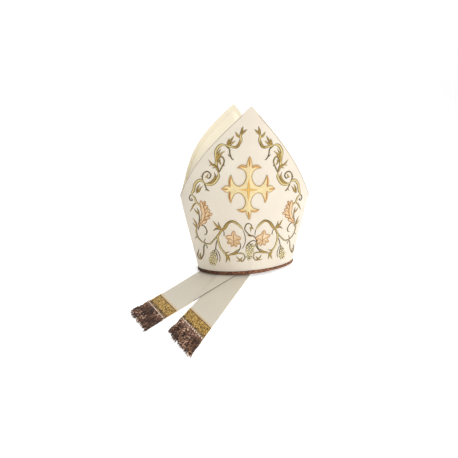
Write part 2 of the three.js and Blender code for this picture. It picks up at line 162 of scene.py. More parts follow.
# The lamps in metres, with each one's power as a share of the key light
LAMPS = {
    "key lamp": {
        "place": (1.35, -1.75, 1.5), "target": (0, 0, 0.15), "size": 1.0, "share": 1.0,
        "colour": (1, 0.99, 0.97),
    },
    "top lamp": {
        "place": (0.5, 0.2, 2.4), "target": (0, 0, 0.1), "size": 1.6, "share": 1.1,
        "colour": (1, 1, 1),
    },
}

# The crown's centre in the frame: its right corner and its front apex give it
PLACE = np.array((
    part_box("front_panel")[1][0] / MM - WIDTHS["right"][-1],
    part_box("front_panel")[0][1] / MM + DEPTHS["front"][-1],
    0.0,
))


# Crown surface, in mm, for arrays of plan angles from -1 at the left seam to 1 at the right one


def smooth(value):
    """Eases from 0 to 1."""
    value = np.clip(value, 0, 1)
    return value * value * (3 - 2 * value)


def mix(low, high, share):
    return low + (high - low) * share


def half_width(side, height):
    """Half width of the crown at a height, on the left where side is negative."""
    left = np.interp(height, WIDTHS["height"], WIDTHS["left"])
    right = np.interp(height, WIDTHS["height"], WIDTHS["right"])
    return np.where(np.asarray(side) < 0, left, right)


def angle_of(x, height):
    """Plan angle of a point x at a height."""
    share = np.clip(np.abs(x) / half_width(x, height), 0, 1)
    return np.sign(x) * np.arcsin(share ** (PLAN_POWER / 2)) / (math.pi / 2)


def edge_x(panel, height, side):
    """Where a peak's edge stands at a height, on the left (-1) or the right (1)."""
    peak = PEAKS[panel]
    share = np.clip((height - CORNER_HEIGHT) / (APEX_HEIGHT - CORNER_HEIGHT), 0, 1)
    half = WIDTHS["left" if side < 0 else "right"][-1]
    bow = peak["bow_left" if side < 0 else "bow_right"] * np.sin(math.pi * share ** peak["bend"])
    return side * (half * (1 - share) + bow + APEX_HALF_WIDTH * share) - peak["lean"] * share


def panel_span(panel, height):
    """Plan angles where a panel starts and ends at a height."""
    depth = np.interp(height, DEPTHS["height"], DEPTHS[panel])
    limit = np.arccos((SEWN_GAP / depth) ** (PLAN_POWER / 2)) / (math.pi / 2)
    left = np.where(height > CORNER_HEIGHT, angle_of(edge_x(panel, height, -1), height), -limit)
    right = np.where(height > CORNER_HEIGHT, angle_of(edge_x(panel, height, 1), height), limit)
    return np.maximum(left, -limit), np.minimum(right, limit)


def crown_point(panel, angle, height):
    """Points on the outer face of a panel."""
    angle, height = np.broadcast_arrays(np.asarray(angle, float), np.asarray(height, float))
    depth = np.interp(height, DEPTHS["height"], DEPTHS[panel])
    turn = angle * math.pi / 2
    x = np.sign(angle) * half_width(angle, height) * np.abs(np.sin(turn)) ** (2 / PLAN_POWER)
    reach = depth * np.abs(np.cos(turn)) ** (2 / PLAN_POWER)
    y = -reach if panel == "front" else reach
    share = 1 - np.clip(height / CORNER_HEIGHT, 0, 1)
    cosine, sine = np.cos(RIM_TWIST * share), np.sin(RIM_TWIST * share)
    return np.stack((x * cosine - y * sine + RIM_SHIFT * share, x * sine + y * cosine, height), -1)


def crown_normal(panel, angle, height):
    """Outward directions of a panel."""
    step, rise = 0.002, 1.0
    inside = np.sign(angle) * np.minimum(np.abs(angle), 1 - 2 * step)
    across = crown_point(panel, inside + step, height) - crown_point(panel, inside - step, height)
    up = crown_point(panel, inside, height + rise) - crown_point(panel, inside, height - rise)
    normal = np.cross(across, up)
    normal /= np.linalg.norm(normal, axis=-1, keepdims=True)
    return normal if panel == "front" else -normal


def crown_offset(panel, angle, height, offset):
    """Points at a distance outside a panel."""
    angle, height = np.broadcast_arrays(np.asarray(angle, float), np.asarray(height, float))
    offset = np.broadcast_to(np.asarray(offset, float), height.shape)
    return crown_point(panel, angle, height) + crown_normal(panel, angle, height) * offset[..., None]


def rim_lift(panel, angle):
    return np.interp(angle, RIM_LIFTS["across"], RIM_LIFTS[panel])


def ridge(x, height):
    """Relief of the slight fold down the middle of the front panel."""
    fade = smooth(height / 60) * smooth((300 - height) / 90)
    return 0.7 * np.exp(-((x / 5.0) ** 2)) * fade


def on_front(x, height, offset):
    """Points over the front panel for embroidery, from its flat drawing."""
    x, height = np.asarray(x, float), np.asarray(height, float)
    return crown_offset("front", angle_of(x, height), height, ridge(x, height) + offset)


# Lappets, in mm


def heading_of(lappet):
    angle = math.radians(lappet["heading"])
    return np.array((math.cos(angle), math.sin(angle)))


def lappet_half(lappet, along):
    near = mix(lappet["half_start"], lappet["half_rim"], smooth(along / RIM_STATION))
    past = np.clip((along - RIM_STATION) / (lappet["floor"] - RIM_STATION), 0, 1)
    return np.where(along < RIM_STATION, near, mix(lappet["half_rim"], lappet["half_end"], past))


def lappet_plan(lappet, along, across):
    """Plan points of a lappet, with across from -1 on its left side to 1 on its right."""
    along, across = np.broadcast_arrays(np.asarray(along, float), np.asarray(across, float))
    heading = heading_of(lappet)
    from_wall = -heading[0] / heading[1] * (1 - smooth(along / TURN_LENGTH))
    skewed = lappet["floor"] - BAND_END - BAND_LENGTH
    to_end = math.tan(math.radians(lappet["end_skew"])) * smooth(1 + (along - skewed) / SKEW_LENGTH)
    half = lappet_half(lappet, along)
    reach = along + across * half * (from_wall + to_end)
    x = lappet["start"][0] + heading[0] * reach - heading[1] * across * half
    y = lappet["start"][1] + heading[1] * reach + heading[0] * across * half
    return np.stack((x, y), -1)


def lappet_lift(lappet, plan):
    """Height of a lappet's underside: the left one climbs onto the right one."""
    if lappet is not LAPPETS["left"]:
        return np.zeros(plan.shape[:-1])
    lower = LAPPETS["right"]
    start = lappet_plan(lower, RIM_STATION, -1)
    line = lappet_plan(lower, lower["floor"], -1) - start
    line = line / np.linalg.norm(line)
    offset = plan - start
    inside = line[0] * offset[..., 1] - line[1] * offset[..., 0]
    return UPPER_RISE * np.clip((inside + EDGE_MARGIN + OVERLAP_RAMP) / OVERLAP_RAMP, 0, 1)


def on_lappet(lappet, along, across, level):
    """Points at a level over the underside of a lappet."""
    plan = lappet_plan(lappet, along, across)
    height = lappet_lift(lappet, plan) + level
    return np.concatenate((plan, np.broadcast_to(height, plan.shape[:-1])[..., None]), -1)


# Meshes


def deselect():
    bpy.ops.object.select_all(action="DESELECT")


def settings(name):
    return getattr(bpy.context.scene, name)


def finish_piece(piece, replaced=()):
    """Rides a piece on the body, and hides the solids that it stands for."""
    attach(piece, BODY)
    if replaced:
        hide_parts(*replaced)


def apply_modifier(piece, kind, **values):
    """Adds a modifier to a piece with these settings, and applies it."""
    deselect()
    bpy.context.view_layer.objects.active = piece
    piece.select_set(True)
    modifier = piece.modifiers.new(kind.title(), kind)
    for key, value in values.items():
        setattr(modifier, key, value)
    bpy.ops.object.modifier_apply(modifier=modifier.name)


def smooth_faces(piece):
    deselect()
    bpy.context.view_layer.objects.active = piece
    piece.select_set(True)
    bpy.ops.object.shade_smooth_by_angle(angle=math.radians(SMOOTH_EDGE))


def thicken(piece, facing, thickness, bevel=0, segments=2, even=False):
    """Turns a sheet's faces to a direction, then gives it a wall behind them, in mm."""
    if sum(p.normal.dot(Vector(facing)) * p.area for p in piece.data.polygons) < 0:
        piece.data.flip_normals()
    apply_modifier(piece, "SOLIDIFY", thickness=thickness * MM, offset=-1, use_even_offset=even)
    if bevel:
        apply_modifier(
            piece, "BEVEL", width=bevel * MM, segments=segments, limit_method="ANGLE",
            angle_limit=math.radians(SHEET_EDGE))
    smooth_faces(piece)


def grid_piece(name, columns, rows, shape, scale):
    """A grid primitive whose points and UVs are placed by shape(u, v), with UVs in metres."""
    deselect()
    bpy.ops.mesh.primitive_grid_add(x_subdivisions=columns, y_subdivisions=rows, size=2)
    piece = bpy.context.object
    piece.name = name
    mesh = piece.data
    mesh.name = name
    flat = np.array([vertex.co[:] for vertex in mesh.vertices])
    u, v = (flat[:, 0] + 1) / 2, (flat[:, 1] + 1) / 2
    points = (shape(u, v) + PLACE) * MM
    mesh.vertices.foreach_set("co", points.ravel())
    corners = np.empty(len(mesh.loops), int)
    mesh.loops.foreach_get("vertex_index", corners)
    coordinates = np.stack((u[corners] * scale[0], v[corners] * scale[1]), -1)
    mesh.uv_layers.active.data.foreach_set("uv", coordinates.ravel())
    mesh.update()
    return piece


class Pieces:
    """Many small closed shapes, gathered into one mesh with UVs and a tone for each point."""

    def __init__(self):
        self.points = []
        self.faces = []
        self.uvs = []
        self.tones = []
        self.count = 0

    def tube(self, rings, uvs, tone, closed=False):
        """Adds a tube through rings of points, with an array of UVs of the same shape."""
        stations, sides = rings.shape[:2]
        start = self.count
        self.points.append(rings.reshape(-1, 3))
        self.tones.append(np.full(stations * sides, tone))
        self.uvs.append(uvs.reshape(-1, 2))
        self.count += stations * sides
        for s in range(stations if closed else stations - 1):
            after = (s + 1) % stations
            for k in range(sides):
                other = (k + 1) % sides
                self.faces.append((
                    start + s * sides + k, start + s * sides + other,
                    start + after * sides + other, start + after * sides + k,
                ))
        if not closed:
            self.faces.append(tuple(start + k for k in reversed(range(sides))))
            self.faces.append(tuple(start + (stations - 1) * sides + k for k in range(sides)))

    def build(self, name):
        mesh = bpy.data.meshes.new(name)
        points = (np.concatenate(self.points) + PLACE) * MM
        mesh.from_pydata(points.tolist(), [], self.faces)
        corners = np.empty(len(mesh.loops), int)
        mesh.loops.foreach_get("vertex_index", corners)
        layer = mesh.uv_layers.new(name="Thread")
        layer.data.foreach_set("uv", np.concatenate(self.uvs)[corners].ravel())
        tone = mesh.attributes.new("tone", "FLOAT", "POINT")
        tone.data.foreach_set("value", np.concatenate(self.tones))
        turn_outward(mesh)
        piece = bpy.data.objects.new(name, mesh)
        bpy.context.scene.collection.objects.link(piece)
        smooth_faces(piece)
        return piece


def turn_outward(mesh):
    """Points the faces of every closed shape outwards."""
    work = bmesh.new()
    work.from_mesh(mesh)
    bmesh.ops.recalc_face_normals(work, faces=work.faces)
    work.to_mesh(mesh)
    work.free()


def spline(points, spacing):
    """Evenly spaced points on a smooth curve through a few given ones."""
    points = np.asarray(points, float)
    if len(points) == 2:
        points = np.array((points[0], points.mean(0), points[1]))
    padded = np.concatenate((
        2 * points[:1] - points[1:2], points, 2 * points[-1:] - points[-2:-1]))
    dense = []
    for i in range(1, len(padded) - 2):
        a, b, c, d = padded[i - 1:i + 3]
        t = np.linspace(0, 1, 16, endpoint=False)[:, None]
        dense.append(0.5 * (
            2 * b + (c - a) * t + (2 * a - 5 * b + 4 * c - d) * t ** 2
            + (3 * b - a - 3 * c + d) * t ** 3))
    dense = np.concatenate((*dense, points[-1:]))
    lengths = np.concatenate(((0,), np.cumsum(np.linalg.norm(np.diff(dense, axis=0), axis=1))))
    count = max(4, int(round(lengths[-1] / spacing)) + 1)
    even = np.linspace(0, lengths[-1], count)
    return np.stack([np.interp(even, lengths, dense[:, k]) for k in range(points.shape[1])], -1)


# Embroidery, drawn flat on the front panel as (across, height) in mm, for its left half

STEMS = {
    "upper stem": (4.6, ((-15, 308), (-17, 299), (-16, 292), (-19, 285), (-23, 280), (-31, 280),
                         (-44, 283))),
    "upper hook": (2.4, ((-44, 283), (-36, 276), (-35, 268), (-32, 260), (-28, 257))),
    "upper hook thorn": (1.4, ((-33, 263), (-36, 264), (-38, 267))),
    "upper arc": (5.6, ((-44, 283), (-50, 283), (-56, 278), (-60, 269), (-59, 256), (-59, 245),
                        (-55, 232))),
    "upper curl": (2.8, ((-55, 232), (-51, 240), (-46, 250), (-45, 256), (-49, 262), (-54, 259),
                         (-55, 253), (-52, 249))),
    "upper curl thorn": (1.3, ((-49, 246), (-46, 246), (-44, 247))),
    "shoulder arc": (5.4, ((-55, 232), (-56, 224), (-61, 215), (-68, 209), (-77, 208),
                           (-83, 210))),
    "shoulder curl": (2.6, ((-83, 210), (-86, 218), (-84, 228), (-77, 233), (-71, 230),
                            (-70, 225), (-74, 220), (-79, 223))),
    "shoulder thorn": (1.3, ((-85, 221), (-89, 223))),
    "shoulder drop": (5.6, ((-83, 210), (-88, 215), (-96, 212), (-102, 203), (-105, 192),
                            (-110, 183))),
    "shoulder hook": (2.6, ((-83, 210), (-80, 202), (-77, 197), (-73, 195))),
    "shoulder hook thorn": (1.3, ((-79, 200), (-81, 195))),
    "side curl": (1.9, ((-109, 183), (-114, 177), (-113, 170), (-108, 171), (-111, 175))),
    "side stem": (4.6, ((-110, 183), (-104, 178), (-100, 168), (-94, 163), (-90, 155),
                        (-91, 143), (-95, 129), (-101, 118))),
    "inner side stem": (2.2, ((-100, 147), (-98, 140), (-99, 130), (-102, 118))),
    "outer stem": (3.2, ((-105, 118), (-108, 104), (-107, 92), (-101, 83), (-93, 79), (-83, 79),
                         (-76, 87), (-69, 96), (-61, 107), (-55, 115))),
    "outer stem thorn": (1.5, ((-108, 91), (-112, 85))),
    "outer stem inner thorn": (1.5, ((-95, 81), (-91, 90))),
    "outer curl": (2.2, ((-104, 107), (-100, 117), (-95, 120), (-89, 117), (-86, 108), (-89, 100),
                         (-93, 99))),
    "corner curl": (2.6, ((-93, 79), (-96, 70), (-97, 61), (-99, 50), (-106, 36), (-111, 44),
                          (-107, 60))),
    "corner thorn": (1.6, ((-94, 75), (-90, 74), (-89, 67))),
    "grape stem": (2.0, ((-65, 95), (-70, 82), (-73, 68), (-80, 57))),
    "bunch edge": (1.5, ((-72, 70), (-67, 59), (-65.5, 48), (-67.5, 37))),
    "bunch fold": (1.2, ((-73, 64), (-70.5, 53), (-71, 44), (-74, 36))),
    "foot stem": (4.4, ((-55, 115), (-65, 99), (-65, 85), (-62, 72), (-55, 60), (-52, 51))),
    "big scroll": (5.0, ((-55, 115), (-46, 126), (-37, 134), (-29, 133), (-21, 127),
                         (-14, 117))),
    "big scroll thorn": (1.6, ((-53, 116), (-52, 107), (-53, 100))),
    "leaf stem": (1.9, ((-21, 85), (-22, 75), (-29, 63), (-39, 57))),
    "bottom stem": (3.0, ((-52, 51), (-45, 56), (-36, 58), (-25, 61), (-17, 59), (-14, 50),
                          (-19, 41), (-25, 41))),
}
LEAVES = {
    "upper tip": (4.6, ((-16, 299), (-15, 308), (-13, 315))),
    "upper tip side": (3.6, ((-15, 302), (-11, 306), (-6, 310))),
    "upper side": (3.8, ((-18, 297), (-22, 299), (-26, 306))),
    "upper fork tall": (4.2, ((-40, 283), (-34, 290), (-28, 299))),
    "upper fork left": (3.4, ((-40, 283), (-38, 289), (-36, 295))),
    "upper fork right": (3.6, ((-39, 282), (-32, 286), (-25, 291))),
    "upper stem swell": (4.6, ((-17, 293), (-20, 284), (-27, 279), (-36, 281))),
    "arc leaf tall": (4.4, ((-59, 252), (-56, 267), (-50, 277))),
    "arc leaf middle": (3.8, ((-58, 255), (-52, 266), (-43, 273))),
    "arc leaf short": (3.4, ((-58, 254), (-54, 261), (-49, 267))),
    "curl heart": (3.0, ((-51, 247), (-53, 253), (-51, 258))),
    "outer leaf low": (4.0, ((-55, 233), (-58, 243), (-66, 247), (-73, 244))),
    "outer leaf tall": (3.6, ((-60, 243), (-67, 247), (-74, 256))),
    "outer leaf thorn": (1.8, ((-59, 243), (-64, 241), (-68, 240))),
    "shoulder leaf": (4.6, ((-78, 209), (-68, 214), (-62, 224), (-63, 234))),
    "shoulder leaf side": (3.6, ((-73, 209), (-65, 216), (-58, 228))),
    "shoulder heart": (2.8, ((-80, 221), (-77, 224), (-74, 229))),
    "drop leaf tall": (3.6, ((-99, 187), (-97, 197), (-91, 207))),
    "drop leaf middle": (3.2, ((-98, 188), (-92, 197), (-86, 204))),
    "drop leaf short": (2.6, ((-98, 188), (-93, 193), (-89, 199))),
    "side thorn": (3.2, ((-98, 165), (-101, 166), (-107, 161), (-112, 152), (-117, 144))),
    "side fork left": (3.2, ((-98, 142), (-103, 147), (-108, 154))),
    "side fork right": (3.0, ((-98, 142), (-99, 151), (-101, 157))),
    "outer fork tall": (3.6, ((-105, 112), (-107, 122), (-112, 132))),
    "outer fork low": (3.2, ((-105, 110), (-110, 116), (-114, 121))),
    "corner heart": (3.2, ((-105, 38), (-106, 46), (-104, 53))),
    "foot leaf left": (4.2, ((-53, 60), (-51, 48), (-55, 36))),
    "foot leaf right": (4.0, ((-52, 58), (-48, 50), (-46, 38))),
    "foot leaf side": (3.0, ((-55, 63), (-51, 61), (-45, 65))),
    "fork leaf tall": (4.6, ((-55, 113), (-64, 121), (-72, 134))),
    "fork leaf low": (4.0, ((-57, 115), (-66, 116), (-74, 110))),
    "fork leaf right": (3.6, ((-56, 114), (-60, 123), (-61, 132))),
    "fork drop": (3.8, ((-55, 117), (-62, 105), (-66, 92))),
    "scroll swell": (5.4, ((-53, 117), (-44, 129), (-33, 135), (-22, 129), (-14, 117))),
    "scroll base": (4.6, ((-56, 112), (-49, 119), (-41, 128))),
    "bottom swell": (4.2, ((-48, 54), (-38, 60), (-28, 61), (-20, 59))),
    "bottom swell lift": (3.4, ((-40, 57), (-31, 66), (-24, 72))),
    "bottom heart": (3.2, ((-20, 42), (-28, 47), (-32, 55))),
    "bottom heart side": (2.6, ((-26, 43), (-22, 47), (-19, 52))),
    "bottom heart foot": (2.2, ((-22, 43), (-28, 41), (-33, 42))),
}
CENTRE_STEMS = {
    "centre curl": (2.3, ((18, 67), (14, 75), (14, 82), (12, 92), (7, 101), (0, 104), (-6, 110),
                          (-10, 117), (-9, 124), (-6, 129), (-2, 131), (3, 128), (5, 121))),
    "centre arch": (2.0, ((13, 84), (10, 89), (6, 91), (2, 90), (-4, 86), (-9, 79), (-11, 73))),
    "left scroll tail": (1.5, ((-14, 117), (-11, 104), (-11, 89), (-16, 76), (-20, 71))),
    "right scroll tail": (1.5, ((12.4, 117), (10.2, 110), (9.6, 103))),
}
CENTRE_LEAVES = {
    "curl heart right": (3.0, ((3, 126), (5, 120), (9, 117))),
    "curl heart low": (2.6, ((4, 125), (2, 118), (1, 111))),
    "curl heart left": (2.4, ((5, 122), (2, 121), (-2, 121))),
    "curl spur": (3.0, ((5, 102), (-2, 103), (-8, 106))),
    "arch leaf": (3.0, ((12, 84), (9, 79), (4, 76))),
}

# Large leaves: their outlines from root to tips and back, with a notch between each two tips
ACANTHUS = (
    (-101, 117), (-94, 122), (-84, 130), (-87, 134), (-77, 138), (-81, 142), (-71, 147), (-78, 150),
    (-75, 156), (-81, 157), (-78, 164), (-84, 164), (-82, 173), (-87, 167), (-91, 173), (-92, 160),
    (-91, 147), (-94, 133), (-99, 124),
)
VINE = (
    (-32.6, 113.5), (-29.4, 104), (-19.8, 97), (-25.6, 91.5), (-22.6, 83.5), (-29, 84.5),
    (-30, 76.5), (-34.2, 81.5), (-39.6, 77), (-40, 84.5), (-47, 84), (-43.6, 92),
    (-49.4, 99.5), (-38, 103.5),
)
ACANTHUS_VEINS = {
    "midrib": (1.8, ((-100, 119), (-89, 134), (-85, 148), (-86, 160), (-88, 170))),
    "low": (1.1, ((-92, 129), (-80, 137))),
    "middle": (1.1, ((-88, 137), (-75, 147))),
    "upper": (1.1, ((-86, 145), (-78, 155))),
    "high": (1.1, ((-85, 152), (-80, 162))),
    "tip": (1.1, ((-86, 158), (-83, 170))),
}
VINE_VEINS = {
    "top": (1.3, ((-34.2, 84), (-34, 97), (-32.8, 110))),
    "right": (1.1, ((-34, 89), (-28, 94), (-22.5, 95.8))),
    "left": (1.1, ((-34.2, 89), (-41, 95), (-46.5, 98))),
    "lower right": (1.0, ((-34, 86), (-29.5, 87), (-24.8, 85))),
    "lower left": (1.0, ((-34.2, 86), (-39.5, 88), (-44.6, 86))),
    "bottom right": (1.0, ((-34, 84), (-30.6, 79))),
    "bottom left": (1.0, ((-34.4, 84), (-38.8, 79.5))),
}

# Bunches of grapes: where the top row stands, where the last one does, and grapes in each row
BUNCHES = {
    "left": ((-77, 61), (-82, 31), (1, 2, 2, 3, 3, 2)),
    "right": ((68, 62), (73, 33), (1, 2, 2, 3, 3, 2)),
    "centre": ((-1, 82), (-6, 45), (2, 3, 3, 3, 2, 2, 1)),
}
GRAPE_SIZE = 5.6

# How far the foot of the right half stands nearer the middle, and up to what height
FOOT_SHIFT = {"across": (25, 85), "shift": (10.0, 4.5)}
FOOT_TOP = 125.0
FOOT_FADE = 35.0


def mirrored(points):
    """Points of the left half on the right one: narrower, and nearer the middle at the foot."""
    line = np.array(points, float)
    line[:, 0] *= -half_width(1, line[:, 1]) / half_width(-1, line[:, 1])
    nearer = np.interp(line[:, 0], FOOT_SHIFT["across"], FOOT_SHIFT["shift"])
    line[:, 0] -= nearer * smooth((FOOT_TOP - line[:, 1]) / FOOT_FADE)
    return line


def other_side(strokes):
    return {name: (width, mirrored(points)) for name, (width, points) in strokes.items()}


def stroke_rings(points, widths, relief, groove, level):
    """Rings of a low ribbon that follows a line drawn on the front panel, and their UVs."""
    tangent = np.gradient(points, axis=0)
    tangent /= np.linalg.norm(tangent, axis=1, keepdims=True)
    side = np.stack((-tangent[:, 1], tangent[:, 0]), -1)
    across = np.array((-1, -0.86, -0.5, 0, 0.5, 0.86, 1, 0))
    rise = np.array((-0.2, 0.55, 0.95, 1 - groove, 0.95, 0.55, -0.2, -0.3))
    slender = np.clip(widths / widths.max(), 0.25, 1)
    x = points[:, None, 0] + side[:, None, 0] * across * widths[:, None] / 2
    z = points[:, None, 1] + side[:, None, 1] * across * widths[:, None] / 2
    rings = on_front(x, z, level + relief * rise * slender[:, None])
    run = np.concatenate(((0,), np.cumsum(np.linalg.norm(np.diff(points, axis=0), axis=1))))
    uvs = np.stack(np.broadcast_arrays(run[:, None] * MM, across[None, :]), -1)
    return rings[:, ::-1], uvs[:, ::-1]


def sew_stems(pieces, strokes, relief, spacing=1.3, level=0.02):
    for width, drawn in strokes.values():
        points = spline(drawn, spacing)
        share = np.linspace(0, 1, len(points))
        taper = np.minimum(1, 0.45 + 4 * np.minimum(share, 1 - share))
        light = min(max((width - 1.9) / 2.6, 0), 1)
        pieces.tube(*stroke_rings(points, width * taper, relief, 0.45, level), light)


def sew_leaves(pieces, strokes, relief, spacing=1.0):
    for index, (width, drawn) in enumerate(strokes.values()):
        points = spline(drawn, spacing)
        share = np.linspace(0, 1, len(points))
        swell = np.sin(math.pi * np.clip(share * 0.93 + 0.07, 0, 1) ** 0.8) ** 0.8
        widths = width * np.maximum(swell, 0.09)
        level = 0.04 + 0.05 * (index % 4)
        light = 0.45 + 0.5 * (index * 0.37 % 1)
        pieces.tube(*stroke_rings(points, widths, relief, 0.3, level), light)


def sew_grapes(grapes, rims, top, last, counts):
    """One bunch: rows of low domes, each in its dark ring."""
    top, last = np.array(top, float), np.array(last, float)
    down = (last - top) / (len(counts) - 1)
    aside = np.array((-down[1], down[0])) / np.linalg.norm(down)
    turns = np.linspace(0, 2 * math.pi, 10, endpoint=False)
    reach = np.array((1.0, 0.96, 0.78, 0.42, 0.08))
    rise = np.array((-0.2, 0.3, 0.75, 1.0, 1.08))
    for row, count in enumerate(counts):
        for k in range(count):
            place = top + down * row + aside * (k - (count - 1) / 2) * GRAPE_SIZE
            place = place + 0.4 * np.array((math.sin(row * 5.1 + k * 2.3), math.cos(row + k * 3.7)))
            radius = GRAPE_SIZE * (0.44 + 0.03 * math.sin(row * 3 + k * 5))
            x = place[0] + radius * reach[:, None] * np.cos(turns)
            z = place[1] + radius * reach[:, None] * np.sin(turns)
            rings = on_front(x, z, 0.02 + 0.9 * rise[:, None])
            uvs = np.stack(np.broadcast_arrays(reach[:, None] * radius * MM, reach[:, None] + 0 * x), -1)
            grapes.tube(rings, uvs, (row * 0.31 + k * 0.23) % 1)
            ring = np.stack((place[0] + radius * np.cos(turns), place[1] + radius * np.sin(turns)), -1)
            around, across = stroke_rings(
                np.concatenate((ring, ring[:2])), np.full(12, 1.25), 0.6, 0.0, 0.05)
            rims.tube(around[:-2], across[:-2], (row * 0.2) % 1, closed=True)


def cross_edges():
    """The cross's outline as smooth stretches, quarter by quarter."""
    stretches = []
    for across, up in QUARTERS:
        kinds = list(CROSS_QUARTER.items())
        if across != up:
            kinds = [(kind, points[::-1]) for kind, points in kinds[::-1]]
        for kind, points in kinds:
            stretches.append((kind, spline(np.array(points) * (across, up), 1.2)))
    return stretches


def distance_to(points, line):
    """Distance from each point to the nearest point of a closed line."""
    start, end = line, np.roll(line, -1, axis=0)
    run = end - start
    share = ((points[:, None] - start) * run).sum(-1) / np.maximum((run * run).sum(-1), 1e-9)
    nearest = start + np.clip(share, 0, 1)[..., None] * run
    return np.linalg.norm(points[:, None] - nearest, axis=-1).min(1)


def bulged(outline, share=0.1):
    """An outline of tips and notches with its edges swelled outwards."""
    points = np.array(outline, float)
    after = np.roll(points, -1, axis=0)
    turning = np.sum(points[:, 0] * after[:, 1] - after[:, 0] * points[:, 1])
    outward = np.stack((after[:, 1] - points[:, 1], points[:, 0] - after[:, 0]), -1)
    middle = (points + after) / 2 + outward * share * np.sign(turning)
    return np.stack((points, middle), 1).reshape(-1, 2)


def sewn_pad(name, outlines):
    """Padded cloth shapes with domed middles, cut to outlines and laid on the front panel."""
    relief, edge, dome = (PADS[name][key] for key in ("relief", "edge", "dome"))
    work = bmesh.new()
    flat, rise = [], []
    for outline in outlines:
        part = bmesh.new()
        face = part.faces.new([part.verts.new((x, z, 0)) for x, z in outline])
        face.normal_update()
        bmesh.ops.triangulate(part, faces=part.faces)
        for _ in range(4):
            long_edges = [e for e in part.edges if e.calc_length() > 2.2 and not e.is_boundary]
            bmesh.ops.subdivide_edges(part, edges=long_edges, cuts=1)
            bmesh.ops.triangulate(part, faces=part.faces)
        part.verts.index_update()
        places = np.array([vertex.co[:2] for vertex in part.verts])
        copies = [work.verts.new((x, z, 0)) for x, z in places]
        for face in part.faces:
            work.faces.new([copies[vertex.index] for vertex in face.verts])
        part.free()
        flat.append(places)
        rise.append(edge + (relief - edge) * smooth(distance_to(places, np.array(outline)) / dome))
    flat, rise = np.concatenate(flat), np.concatenate(rise)
    top = (on_front(flat[:, 0], flat[:, 1], rise) + PLACE) * MM
    for vertex, point in zip(work.verts, top):
        vertex.co = point
    mesh = bpy.data.meshes.new(name)
    work.to_mesh(mesh)
    work.free()
    for polygon in mesh.polygons:
        if polygon.normal.y > 0:
            polygon.flip()
    piece = bpy.data.objects.new(name, mesh)
    bpy.context.scene.collection.objects.link(piece)
    layer = mesh.uv_layers.new(name="Thread")
    indices = np.empty(len(mesh.loops), int)
    mesh.loops.foreach_get("vertex_index", indices)
    layer.data.foreach_set("uv", (flat[indices] * MM).ravel())
    apply_modifier(piece, "SOLIDIFY", thickness=edge * MM, offset=-1)
    smooth_faces(piece)
    return piece


# Shader maths


class Value:
    """A socket that changes over a surface, with arithmetic that adds its Math nodes."""

    def __init__(self, paint, socket):
        self.paint = paint
        self.socket = socket

    def math(self, operation, *others, first=None):
        operands = [self if first is None else first, *others]
        if first is not None:
            operands.append(self)
        return self.paint.add("ShaderNodeMath", {"operation": operation}, dict(enumerate(operands)))

    def __add__(self, other):
        return self.math("ADD", other)

    __radd__ = __add__

    def __mul__(self, other):
        return self.math("MULTIPLY", other)

    __rmul__ = __mul__

    def __sub__(self, other):
        return self.math("SUBTRACT", other)

    def __rsub__(self, other):
        return self.math("SUBTRACT", first=other)

    def __truediv__(self, other):
        return self.math("DIVIDE", other)

    def absolute(self):
        return self.math("ABSOLUTE")

    def sine(self):
        return self.math("SINE")

    def ease(self, low, high):
        """From 0 at low to 1 at high."""
        sockets = {"Value": self, "From Min": low, "From Max": high}
        return self.paint.add(
            "ShaderNodeMapRange", {"interpolation_type": "SMOOTHSTEP", "clamp": True}, sockets,
            output="Result")


class Paint:
    """One material and the nodes that give its colour, gloss and relief."""

    def __init__(self, name):
        self.material = bpy.data.materials.new(name)
        self.material.use_nodes = True
        self.tree = self.material.node_tree
        self.shader = self.tree.nodes["Principled BSDF"]

    def add(self, kind, options=None, sockets=None, output=0):
        """Adds a node with these settings, then the values or links of its sockets."""
        node = self.tree.nodes.new(kind)
        for key, value in (options or {}).items():
            setattr(node, key, value)
        for key, value in (sockets or {}).items():
            self.feed(node.inputs[key], value)
        return Value(self, node.outputs[output])

    def feed(self, socket, value):
        if isinstance(value, Value):
            self.tree.links.new(value.socket, socket)
        elif hasattr(value, "__len__") and len(value) == 3 and socket.type == "RGBA":
            socket.default_value = (*value, 1)
        else:
            socket.default_value = value

    def place(self):
        """The surface's place in the frame, in metres."""
        return self.add("ShaderNodeTexCoord", output="Object")

    def uv(self):
        """The surface's own UVs, in metres along a thread and on cloth."""
        return self.add("ShaderNodeTexCoord", output="UV")

    def along(self):
        """Length along a thread, or across a strip of cloth."""
        return self.add("ShaderNodeSeparateXYZ", None, {"Vector": self.uv()}, output="X")

    def across(self):
        """Place across a thread, or length up a strip of cloth."""
        return self.add("ShaderNodeSeparateXYZ", None, {"Vector": self.uv()}, output="Y")

    def tone(self):
        return self.add("ShaderNodeAttribute", {"attribute_name": "tone"}, output="Fac")

    def noise(self, vector, scale, detail):
        sockets = {"Vector": vector, "Scale": scale, "Detail": detail}
        return self.add("ShaderNodeTexNoise", None, sockets, output="Fac")

    def stretch(self, vector, scale):
        return self.add("ShaderNodeMapping", None, {"Vector": vector, "Scale": scale})

    def blend(self, share, low, high):
        """A colour between two."""
        return self.add("ShaderNodeMix", {"data_type": "RGBA"}, {
            0: share, 6: low, 7: high}, output=2)

    def finish(self, colour, roughness, relief=None, strength=0.5, depth=0.0005, **constants):
        """Feeds the shader: what changes over the surface first, then plain numbers."""
        self.feed(self.shader.inputs["Base Color"], colour)
        self.feed(self.shader.inputs["Roughness"], roughness)
        if relief is not None:
            bump = self.add("ShaderNodeBump", None, {
                "Strength": strength, "Distance": depth, "Height": relief}, output="Normal")
            self.feed(self.shader.inputs["Normal"], bump)
        for key, value in constants.items():
            self.feed(self.shader.inputs[key.replace("_", " ")], value)
        return self.material


def shaded(colour):
    """The darker tone of a cloth's uneven places."""
    return tuple(channel * CLOTH_SHADE for channel in colour)


